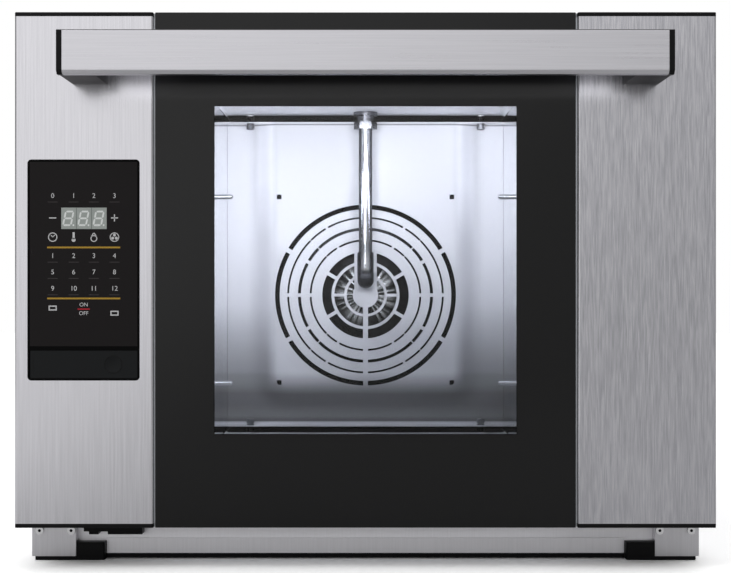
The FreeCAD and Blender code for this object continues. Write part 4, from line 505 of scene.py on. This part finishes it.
# Boards: green solder-masked laminate with copper tracks under the mask; the power board's relays
# stand on its outer face and are black.
def circuit_board(name, face_x):
    """Laminate whose parts beyond face_x (metres) take the relays' black."""
    laminate = finish(name, Roughness=0.4)
    track = add(laminate, "ShaderNodeTexNoise", {"Vector": cells(laminate, 30.0, 5.0, 5.0), "Scale": 1.0,
                                                 "Detail": 1.0}).outputs["Fac"]
    mask = add(laminate, "ShaderNodeValToRGB", {"Fac": track}, stops=((0.46, "#1d4a30"), (0.54, "#2c6540")))
    place = add(laminate, "ShaderNodeTexCoord", {}).outputs["Object"]
    x = add(laminate, "ShaderNodeSeparateXYZ", {"Vector": place}).outputs["X"]
    beyond = add(laminate, "ShaderNodeMath", {0: x, 1: face_x}, operation="GREATER_THAN").outputs["Value"]
    tone = add(laminate, "ShaderNodeMix", {"Factor": beyond, "A": mask.outputs["Color"], "B": linear("#1b1b1d")},
               data_type="RGBA")
    feed(laminate, Base_Color=tone.outputs["Result"])
    return laminate


BOARD_THICKNESS = 1.6 * MM
NO_RELAYS = 1.0
dress(circuit_board("power_board_laminate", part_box("power_board")[0].x + BOARD_THICKNESS), "power_board")
dress(circuit_board("control_board_laminate", NO_RELAYS), "control_board")

# Door seal: moulded silicone with a rounded lip, fixed on the front frame round the chamber's mouth.
# It is one closed ring with soft corners.
SEAL_WIDTH = 9.0 * MM
SEAL_CORNER = 21.0 * MM
LIP_RADIUS = 3.6 * MM
seal_low, seal_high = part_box("door_gasket")
seal = bmesh.new()
for inset in (0.0, SEAL_WIDTH):
    outline = bmesh.ops.create_grid(seal, x_segments=1, y_segments=1, size=0.5)["verts"]
    span = Vector((seal_high.x - seal_low.x - 2 * inset, seal_high.z - seal_low.z - 2 * inset, 1.0))
    bmesh.ops.scale(seal, vec=span, verts=outline)
    bmesh.ops.bevel(seal, geom=outline, offset=SEAL_CORNER - inset, segments=10, profile=0.5,
                    affect="VERTICES", material=-1)
bmesh.ops.delete(seal, geom=seal.faces[:], context="FACES_ONLY")
bmesh.ops.bridge_loops(seal, edges=seal.edges[:])
raised = bmesh.ops.extrude_face_region(seal, geom=seal.faces[:])["geom"]
bmesh.ops.translate(seal, vec=(0, 0, seal_high.y - seal_low.y),
                    verts=[item for item in raised if isinstance(item, bmesh.types.BMVert)])
upper_edges = [e for e in seal.edges if all(v.co.z > 1 * MM for v in e.verts)]
rims = [e for e in upper_edges if any(abs(f.normal.z) < 0.5 for f in e.link_faces)]
bmesh.ops.bevel(seal, geom=rims, offset=LIP_RADIUS, segments=5, profile=0.5, affect="EDGES", material=-1)
seal_middle = (seal_low + seal_high) / 2
upright = Matrix.Translation((seal_middle.x, seal_high.y, seal_middle.z)) @ Matrix.Rotation(math.radians(90), 4, "X")
bmesh.ops.transform(seal, matrix=upright, verts=seal.verts)
bmesh.ops.recalc_face_normals(seal, faces=seal.faces)
for face in seal.faces:
    face.smooth = True
silicone = moulded_plastic("black_silicone", "#161617", "#202021", 0.58, 0.5)
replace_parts(new_piece("door_seal", seal, silicone, "oven"), "door_gasket")

# Door wings: stainless sheet folded to boxes and brushed upright, the right one scratched more openly,
# with black moulded caps at both ends.
# Painted light and shade: the left wing's steel is drawn lighter than the right's, as the light falls from the upper
# left.
lit_left_steel = brushed_steel("brushed_steel_left_lit", "#d0cfd4", "#dfdee3", 2, (1.4, 70.0), 0.22)
shaded_right_steel = brushed_steel("brushed_steel_right_shaded", "#babac0", "#dad9de", 2, (1.0, 20.0), 0.22)
fine_copy("wing_left", lit_left_steel, "door", 0.0)
fine_copy("wing_right", shaded_right_steel, "door", 0.0)
fine_copy("wing_caps", black_polyamide, "door", 0.5)

# Outer pane: toughened float glass over the whole height, bonded to the pan. Black enamel is fired on all
# round and leaves a clear window. A coat cuts its reflections, so its IOR is below plain glass's 1.5.
WINDOW_HALF = 129.5 * MM
WINDOW_LOW = 117.0 * MM
WINDOW_HIGH = 398.0 * MM
PANE_ARRIS = 0.6 * MM
pane_low, pane_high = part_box("door_glass_outer")
pane = bmesh.new()
block = bmesh.ops.create_cube(pane, size=1.0)["verts"]
bmesh.ops.scale(pane, vec=pane_high - pane_low, verts=block)
bmesh.ops.translate(pane, vec=(pane_low + pane_high) / 2, verts=block)
bmesh.ops.bevel(pane, geom=pane.edges[:], offset=PANE_ARRIS, segments=2, profile=0.5, affect="EDGES",
                material=-1)
for point, normal in (((-WINDOW_HALF, 0, 0), (1, 0, 0)), ((WINDOW_HALF, 0, 0), (1, 0, 0)),
                      ((0, 0, WINDOW_LOW), (0, 0, 1)), ((0, 0, WINDOW_HIGH), (0, 0, 1))):
    bmesh.ops.bisect_plane(pane, geom=pane.verts[:] + pane.edges[:] + pane.faces[:], plane_co=point,
                           plane_no=normal)
for face in pane.faces:
    centre = face.calc_center_median()
    if abs(centre.x) > WINDOW_HALF or not WINDOW_LOW < centre.z < WINDOW_HIGH:
        face.material_index = 1
clear_glass = finish("coated_float_glass", Base_Color=linear("#eff0f0"), Transmission_Weight=1.0, IOR=1.22)
smear = add(clear_glass, "ShaderNodeTexNoise", {"Vector": cells(clear_glass, 45.0, 45.0, 45.0), "Scale": 1.0,
                                                "Detail": 3.0}).outputs["Fac"]
smear_rough = add(clear_glass, "ShaderNodeMapRange", {"Value": smear, "From Min": 0.45, "From Max": 0.8,
                                                      "To Min": 0.0, "To Max": 0.02})
feed(clear_glass, Roughness=smear_rough.outputs["Result"])
enamel = finish("black_enamelled_glass", IOR=1.40)
fired = add(enamel, "ShaderNodeTexNoise", {"Vector": cells(enamel, 120.0, 120.0, 120.0), "Scale": 1.0})
speck = add(enamel, "ShaderNodeTexNoise", {"Vector": cells(enamel, 1.4, 1.4, 1.4), "Scale": 1.0})
enamel_tone = add(enamel, "ShaderNodeValToRGB", {"Fac": speck.outputs["Fac"]},
                  stops=((0.3, "#040405"), (0.7, "#0b0b0c")))
enamel_rough = add(enamel, "ShaderNodeMapRange", {"Value": fired.outputs["Fac"], "To Min": 0.12, "To Max": 0.2})
feed(enamel, Base_Color=enamel_tone.outputs["Color"], Roughness=enamel_rough.outputs["Result"])
outer_pane = new_piece("outer_pane", pane, clear_glass, "door")
outer_pane.data.materials.append(enamel)
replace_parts(outer_pane, "door_glass_outer")

# Inner pane, pan and lamp bars: a second clear pane clipped into a folded steel pan, and two milky
# polycarbonate bars that light the chamber.
dress(clear_glass, "door_glass_inner")
dress(satin_steel("pan_steel", "#b9bcc0", "#d0d3d7", 0.28, 0.38), "door_pan")
milky = finish("milky_polycarbonate", Roughness=0.35, Emission_Strength=0.4)
milk = add(milky, "ShaderNodeTexNoise", {"Vector": cells(milky, 5.0, 5.0, 5.0), "Scale": 1.0}).outputs["Fac"]
milk_tone = add(milky, "ShaderNodeValToRGB", {"Fac": milk},
                stops=((0.3, "#e6eaf0"), (0.7, "#f4f6fa"))).outputs["Color"]
feed(milky, Base_Color=milk_tone, Emission_Color=milk_tone)
dress(milky, "door_led_bars")

# Handle: flat stainless tube with a bevelled lower edge, brushed lengthwise, between black moulded
# brackets that are screwed on from inside the wings. Its upper edge is painted black, as a painted dark
# reflection along the rounded top.
handle_steel = brushed_steel("brushed_steel_handle", "#cfced3", "#d9d8dd", 0, (1.3, 90.0), 0.30)
handle_tube = fine_copy("handle_bar", handle_steel, "door", 0.5)
handle_tube.data.materials.append(black_polyamide)
DARK_EDGE_DEPTH = 1.3 * MM
handle_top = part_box("handle_bar")[1].z
# Painted reflection: the upward faces at the tube's top take the black plastic.
for face in handle_tube.data.polygons:
    if face.normal.z > 0.35 and face.center.z > handle_top - DARK_EDGE_DEPTH:
        face.material_index = 1
fine_copy("handle_brackets", black_polyamide, "door", 0.6)

# Control unit: moulded housing clipped into the left wing, a satin printed film over the keys, a grey
# numeric display, and a flap over the data socket.
housing_black = moulded_plastic("housing_black", "#020202", "#040405", 0.50, 0.8, 0.06)
fine_copy("control_housing", housing_black, "door", 0.5)
dress(moulded_plastic("satin_key_film", "#110d0e", "#130f10", 0.42, 0.9, 0.16), "control_fascia")
flap_plastic = moulded_plastic("flap_plastic", "#0d0f11", "#111315", 0.46, 0.6, 0.18)
fine_copy("usb_flap", flap_plastic, "flap", 0.3)
dress(moulded_plastic("display_window", "#969c98", "#a0a6a2", 0.30, 0.6), "display_module")
dress(satin_steel("socket_shell", "#a8a8a8", "#c4c4c4", 0.25, 0.35), "usb_socket")

# Flap ring: a raised bead round the finger dimple and a short ridge at the hinge, moulded with the flap.
# Both are a little darker and glossier than its grained face.
BEAD = 0.35
BEAD_RADIUS = 7.4
DIMPLE_FROM_EDGE = 20.5 * MM
flap_low, flap_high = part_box("usb_flap")
bead = bmesh.new()
bead_profile = [(BEAD_RADIUS - BEAD * math.cos(a), 0.6 * BEAD * math.sin(a)) for a in (0.0, 1.05, 2.09, math.pi)]
turned(bead, bead_profile, 48)
dimple = Vector((flap_high.x - DIMPLE_FROM_EDGE, flap_low.y, (flap_low.z + flap_high.z) / 2))
stand = Matrix.Translation(dimple) @ Matrix.Rotation(math.radians(90), 4, "X")
bmesh.ops.transform(bead, matrix=stand, verts=bead.verts)
RIDGE = Vector((0.6, 0.3, 12.0)) * MM
RIDGE_FROM_EDGE = 3.0 * MM
RIDGE_PROUD = 0.05 * MM
ridge = bmesh.ops.create_cube(bead, size=1.0)["verts"]
bmesh.ops.scale(bead, vec=RIDGE, verts=ridge)
bmesh.ops.translate(bead, vec=(flap_low.x + RIDGE_FROM_EDGE, flap_low.y - RIDGE_PROUD, dimple.z), verts=ridge)
ring_plastic = moulded_plastic("flap_ring_plastic", "#040405", "#08090a", 0.40, 0.6, 0.2)
new_piece("flap_ring", bead, ring_plastic, "flap")

# Key legends: screen-printed ink on the key film. Numbers mark the keys, with a small line under each, and
# a minus and a plus stand beside the display. Rows are in millimetres below the film's upper edge.
INK = 0.03 * MM
COLUMNS = (19.7, 37.6, 54.9, 72.5)
MIDDLE_COLUMN = 46.2
TOP_ROW, TOP_TICKS = 29.2, 34.4
SIGN_ROW = 48.0
NUMBER_ROWS = ((80.5, 1), (94.4, 5), (108.4, 9))
TICK_DROP = 5.3
ON_ROW, OFF_ROW = 122.2, 129.6
FIGURE_H = 4.0
FIGURE_SHARE = 0.69
TICK_W, TICK_H = 8.6, 0.7
SIGN_W, SIGN_H = 6.0, 0.9
SWITCH_H = 3.2
film_low, film_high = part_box("control_fascia")
key_columns = [film_low.x + offset * MM for offset in COLUMNS]
key_middle = film_low.x + MIDDLE_COLUMN * MM


def under_top(offset):
    """Height on the film, measured down from its upper edge in millimetres."""
    return film_high.z - offset * MM


def bar(form, x, z, width, height, turn=0.0):
    """Flat bar of ink, its size in millimetres."""
    verts = bmesh.ops.create_grid(form, x_segments=1, y_segments=1, size=0.5)["verts"]
    bmesh.ops.scale(form, vec=(width * MM, height * MM, 1.0), verts=verts)
    bmesh.ops.rotate(form, matrix=Matrix.Rotation(math.radians(turn), 3, "Z"), verts=verts)
    bmesh.ops.translate(form, vec=(x, z, 0.0), verts=verts)


def ring(form, x, z, radius, width):
    """Flat ring of ink, its size in millimetres."""
    verts = []
    for r in (radius, radius - width):
        verts += bmesh.ops.create_circle(form, segments=28, radius=r * MM)["verts"]
    edges = {edge for vert in verts for edge in vert.link_edges}
    bmesh.ops.bridge_loops(form, edges=list(edges))
    bmesh.ops.translate(form, vec=(x, z, 0.0), verts=verts)


def dot(form, x, z, radius):
    """Round spot of ink, its radius in millimetres."""
    verts = bmesh.ops.create_circle(form, segments=20, radius=radius * MM, cap_ends=True)["verts"]
    bmesh.ops.translate(form, vec=(x, z, 0.0), verts=verts)


def word(form, text, x, z, height):
    """Number or switch word in Blender's own plain face, made a mesh and added to the ink."""
    curve = bpy.data.curves.new("word", "FONT")
    curve.body = text
    curve.size = height * MM / FIGURE_SHARE
    curve.align_x = "CENTER"
    curve.align_y = "CENTER"
    letters = bpy.data.objects.new("word", curve)
    bpy.context.scene.collection.objects.link(letters)
    bpy.context.view_layer.update()
    flat = bpy.data.meshes.new_from_object(letters.evaluated_get(bpy.context.evaluated_depsgraph_get()))
    flat.transform(Matrix.Translation((x, z, 0.0)))
    form.from_mesh(flat)
    bpy.data.objects.remove(letters)
    bpy.data.curves.remove(curve)
    bpy.data.meshes.remove(flat)


def printed(name, form, material, face_y):
    """Gives flat ink its thickness and stands it on an upright face."""
    for face in form.faces:
        face.normal_update()
        if face.normal.z < 0:
            face.normal_flip()
    top = bmesh.ops.extrude_face_region(form, geom=form.faces[:])["geom"]
    bmesh.ops.translate(form, vec=(0, 0, INK),
                        verts=[item for item in top if isinstance(item, bmesh.types.BMVert)])
    stand = Matrix.Translation((0, face_y, 0)) @ Matrix.Rotation(math.radians(90), 4, "X")
    bmesh.ops.transform(form, matrix=stand, verts=form.verts)
    bmesh.ops.recalc_face_normals(form, faces=form.faces)
    return new_piece(name, form, material, "door")


def ink(name, thin, full):
    """Screen-printed ink, a little uneven from the mesh of the screen.
    The real mesh is about 0.1 mm; it is drawn coarse enough to show."""
    coat = finish(name, Roughness=0.5, Specular_IOR_Level=0.2)
    mesh_mark = add(coat, "ShaderNodeTexNoise", {"Vector": cells(coat, 0.6, 0.6, 0.6), "Scale": 1.0}).outputs["Fac"]
    tone = add(coat, "ShaderNodeValToRGB", {"Fac": mesh_mark}, stops=((0.3, thin), (0.7, full)))
    feed(coat, Base_Color=tone.outputs["Color"])
    return coat


legends = bmesh.new()
ticks = bmesh.new()
for x, text in zip(key_columns, "0123"):
    word(legends, text, x, under_top(TOP_ROW), FIGURE_H)
    bar(ticks, x, under_top(TOP_TICKS), TICK_W, TICK_H)
for down, first in NUMBER_ROWS:
    for i, x in enumerate(key_columns):
        word(legends, str(first + i), x, under_top(down), FIGURE_H)
        bar(ticks, x, under_top(down + TICK_DROP), TICK_W, TICK_H)
left_x, second_x, third_x, right_x = key_columns
sign_z = under_top(SIGN_ROW)
bar(legends, left_x, sign_z, SIGN_W, SIGN_H)
bar(legends, right_x, sign_z, SIGN_W, SIGN_H)
bar(legends, right_x, sign_z, SIGN_H, SIGN_W)
word(legends, "ON", key_middle, under_top(ON_ROW), SWITCH_H)
word(legends, "OFF", key_middle, under_top(OFF_ROW), SWITCH_H)

# Pictograms in the same ink, printed in the same pass: clock, thermometer, drop and fan under the display,
# and two trays below. Their parts are placed in millimetres from each key's middle.
ICON_ROW = 64.4
ICON_R = 4.0
LEFT_TRAY, RIGHT_TRAY = 123.4, 127.8
TRAY_W, TRAY_H, TRAY_LINE = 7.0, 3.2, 1.0
icon_z = under_top(ICON_ROW)
ring(legends, left_x, icon_z, ICON_R, 0.8)
bar(legends, left_x - 0.7 * MM, icon_z + 0.8 * MM, 2.2, 0.7, -45.0)
bar(legends, left_x + 0.9 * MM, icon_z + 0.9 * MM, 2.6, 0.7, 45.0)
bar(legends, second_x, icon_z + 1.2 * MM, 1.8, 6.0)
dot(legends, second_x, icon_z - 2.4 * MM, 1.7)
ring(legends, third_x, icon_z - 1.2 * MM, 2.9, 0.8)
bar(legends, third_x - 1.2 * MM, icon_z + 2.0 * MM, 3.6, 0.8, 58.0)
bar(legends, third_x + 1.2 * MM, icon_z + 2.0 * MM, 3.6, 0.8, -58.0)
ring(legends, right_x, icon_z, ICON_R, 0.7)
for blade in range(3):
    angle = math.radians(90 + 120 * blade)
    dot(legends, right_x + 1.8 * MM * math.cos(angle), icon_z + 1.8 * MM * math.sin(angle), 1.25)
for x, down in ((left_x, LEFT_TRAY), (right_x, RIGHT_TRAY)):
    bar(legends, x, under_top(down), TRAY_W, TRAY_LINE)
    bar(legends, x, under_top(down + TRAY_H), TRAY_W, TRAY_LINE)
    bar(legends, x - 3.0 * MM, under_top(down + TRAY_H / 2), TRAY_LINE, 2.2)
    bar(legends, x + 3.0 * MM, under_top(down + TRAY_H / 2), TRAY_LINE, 2.2)
printed("key_legends", legends, ink("white_ink", "#b9b9ba", "#d2d2d3"), film_low.y)
printed("key_ticks", ticks, ink("grey_ink", "#322e2f", "#3c3839"), film_low.y)

# Dividing lines in gold ink above and below the number keys, and a red line between ON and OFF. Each colour
# is a pass of its own on the key film.
GOLD_ROWS = (73.2, 116.8)
GOLD_W, GOLD_H = 62.4, 1.45
RED_ROW = 125.9
RED_W, RED_H = 10.4, 1.0
gold_lines = bmesh.new()
for down in GOLD_ROWS:
    bar(gold_lines, key_middle, under_top(down), GOLD_W, GOLD_H)
printed("gold_lines", gold_lines, ink("gold_ink", "#a07d28", "#b28e36"), film_low.y)
red_line = bmesh.new()
bar(red_line, key_middle, under_top(RED_ROW), RED_W, RED_H)
printed("red_line", red_line, ink("red_ink", "#ab1c2b", "#bd2636"), film_low.y)

# Display digits: three slanted seven-segment figures with their points, moulded light pipes that are
# pale when off, divided by thin walls.
DIGIT_H = 11.6
DIGIT_W = 6.6
SEGMENT_W = 1.55
SEGMENT_GAP = 0.5
POINT_ASIDE, POINT_R = 1.0, 0.8
WALL_W, WALL_H = 0.6, 18.0
FIGURE_SHIFT = 0.4 * MM
SLANT = math.tan(math.radians(11.5))


def segment(form, x, z, length, upright):
    """One six-sided bar of a figure, its size in millimetres, slanted with the figure."""
    w = SEGMENT_W / 2
    half = length / 2
    outline = ((-half, 0), (-half + w, w), (half - w, w), (half, 0), (half - w, -w), (-half + w, -w))
    points = [(x + v, z + u) if upright else (x + u, z + v) for u, v in outline]
    form.faces.new([form.verts.new(((u + v * SLANT) * MM, v * MM, 0.0)) for u, v in points])


display_low, display_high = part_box("display_module")
display_z = (display_low.z + display_high.z) / 2
cell = (display_high.x - display_low.x) / 3
digits = bmesh.new()
walls = bmesh.new()
for i in range(3):
    figure = bmesh.new()
    for level in (-DIGIT_H / 2, 0.0, DIGIT_H / 2):
        segment(figure, 0.0, level, DIGIT_W - SEGMENT_GAP, False)
    for side in (-DIGIT_W / 2, DIGIT_W / 2):
        for level in (-DIGIT_H / 4, DIGIT_H / 4):
            segment(figure, side, level, DIGIT_H / 2 - SEGMENT_GAP, True)
    dot(figure, (DIGIT_W / 2 + POINT_ASIDE) * MM, -DIGIT_H / 2 * MM, POINT_R)
    figure_x = display_low.x + cell * (i + 0.5) - FIGURE_SHIFT
    bmesh.ops.translate(figure, vec=(figure_x, display_z, 0.0), verts=figure.verts)
    pour(digits, figure)
    if i:
        bar(walls, display_low.x + cell * i, display_z, WALL_W, WALL_H)
printed("display_digits", digits, ink("pale_light_pipe", "#d4d8d6", "#e2e5e3"), display_low.y)
printed("display_walls", walls, ink("display_wall", "#666c69", "#727875"), display_low.y)

# Floor: seamless pale paper under the oven. For all but camera rays it is painted palest at the left, as
# painted light that the steel mirrors. It is drawn white for the camera and keeps the shadow.
PAPER_HALF = 6.0
PALE_END, PALE_START = -0.63, -0.28
CAMERA_WHITE = (1.7, 1.7, 1.7, 1.0)
floor_form = bmesh.new()
bmesh.ops.create_grid(floor_form, x_segments=2, y_segments=2, size=PAPER_HALF)
floor_mesh = bpy.data.meshes.new("floor")
floor_form.to_mesh(floor_mesh)
floor_form.free()
floor = bpy.data.objects.new("floor", floor_mesh)
bpy.context.scene.collection.objects.link(floor)
paper = finish("pale_paper", Roughness=1.0, Specular_IOR_Level=0.0)
seen = add(paper, "ShaderNodeLightPath", {}).outputs["Is Camera Ray"]
paper_place = add(paper, "ShaderNodeTexCoord", {}).outputs["Object"]
paper_x = add(paper, "ShaderNodeSeparateXYZ", {"Vector": paper_place}).outputs["X"]
# Painted light: the paper is paler towards the left.
painted_light_sweep = add(paper, "ShaderNodeMapRange", {"Value": paper_x, "From Min": PALE_END, "From Max": PALE_START,
                                          "To Min": 0.86, "To Max": 0.58}).outputs["Result"]
paper_tone = add(paper, "ShaderNodeMix", {"Factor": seen, "A": painted_light_sweep, "B": CAMERA_WHITE}, data_type="RGBA")
feed(paper, Base_Color=paper_tone.outputs["Result"])
floor_mesh.materials.append(paper)

# Studio: a pale surround, brighter towards the upper left, with a dark flag at the far left that draws
# the oven's edge, and white where the camera looks past the oven.
TO_UPPER_LEFT = (-0.75, 0.0, 0.85)
FLAG_INNER, FLAG_OUTER = -0.5, -0.8
FLAG_TONE = 0.3
world = bpy.data.worlds.new("studio")
bpy.context.scene.world = world
world.use_nodes = True
sky = world.node_tree.nodes["Background"]
ray = add(world, "ShaderNodeTexCoord", {}).outputs["Generated"]
slope = add(world, "ShaderNodeVectorMath", {0: ray, 1: TO_UPPER_LEFT}, operation="DOT_PRODUCT").outputs["Value"]
level = add(world, "ShaderNodeMapRange", {"Value": slope, "From Min": -0.5, "From Max": 0.5}).outputs["Result"]
glow = add(world, "ShaderNodeValToRGB", {"Fac": level},
           stops=((0.2, 0.42), (0.48, 0.54), (0.60, 0.92), (0.8, 1.05), (0.88, 1.05), (1.0, 0.8)))
camera_ray = add(world, "ShaderNodeLightPath", {}).outputs["Is Camera Ray"]
ray_x = add(world, "ShaderNodeSeparateXYZ", {"Vector": ray}).outputs["X"]
flag = add(world, "ShaderNodeMapRange", {"Value": ray_x, "From Min": FLAG_OUTER, "From Max": FLAG_INNER,
                                         "To Min": FLAG_TONE, "To Max": 1.0})
shaded = add(world, "ShaderNodeMix", {"Factor": 1.0, "A": glow.outputs["Color"], "B": flag.outputs["Result"]},
             data_type="RGBA", blend_type="MULTIPLY")
backdrop = add(world, "ShaderNodeMix", {"Factor": camera_ray, "A": shaded.outputs["Result"],
                                        "B": (1.0, 1.0, 1.0, 1.0)}, data_type="RGBA")
world.node_tree.links.new(backdrop.outputs["Result"], sky.inputs["Color"])


# Lamps: one soft key light from the upper left, a slim fill behind the handle, and four small lights just
# inside the chamber's mouth that stand for the door's lamp bars and reach its walls and rear.
def lamp(name, place, target, size, watts, colour="#ffffff", spread=180):
    """Rectangular soft light aimed at a point."""
    light = bpy.data.lights.new(name, "AREA")
    light.shape = "RECTANGLE"
    light.size, light.size_y = size
    light.energy = watts
    light.spread = math.radians(spread)
    light.color = linear(colour)[:3]
    stand = bpy.data.objects.new(name, light)
    aim = (Vector(target) - Vector(place)).to_track_quat("-Z", "Y")
    stand.matrix_world = Matrix.Translation(place) @ aim.to_matrix().to_4x4()
    stand.visible_camera = False
    bpy.context.scene.collection.objects.link(stand)


LED_WHITE = "#f6f7ff"
lamp("key_light", (-1.6, -1.9, 2.2), (0, 0, 0.25), (1.2, 1.2), 16.0)
lamp("handle_fill", (0.0, -0.357, 0.4185), (0.0, 0.0, 0.4185), (0.47, 0.011), 0.015)
lamp("door_lamp_middle", (0.0, -0.235, 0.425), (0.05, 0.21, 0.42), (0.30, 0.04), 0.225, LED_WHITE, 60)
lamp("door_lamp_right", (0.12, -0.235, 0.40), (-0.176, 0.08, 0.36), (0.06, 0.06), 0.325, LED_WHITE, 70)
lamp("door_lamp_left", (-0.12, -0.235, 0.40), (0.176, 0.08, 0.39), (0.06, 0.06), 0.175, LED_WHITE, 60)
lamp("door_lamp_low", (-0.06, -0.235, 0.36), (-0.06, 0.21, 0.30), (0.20, 0.10), 0.11, LED_WHITE, 60)

# Camera: level, straight in front of the door at 1.24 m, at about half the oven's height. Its lens gives
# the photograph's frame.
camera = bpy.data.cameras.new("camera")
camera.lens = 71.45
camera.sensor_fit = "HORIZONTAL"
camera.sensor_width = 36.0
tripod = bpy.data.objects.new("camera", camera)
tripod.location = (0.0, -1.5395, 0.2434)
tripod.rotation_euler = (math.radians(90), 0, 0)
bpy.context.scene.collection.objects.link(tripod)
bpy.context.scene.camera = tripod
bpy.context.scene.view_settings.view_transform = "Standard"
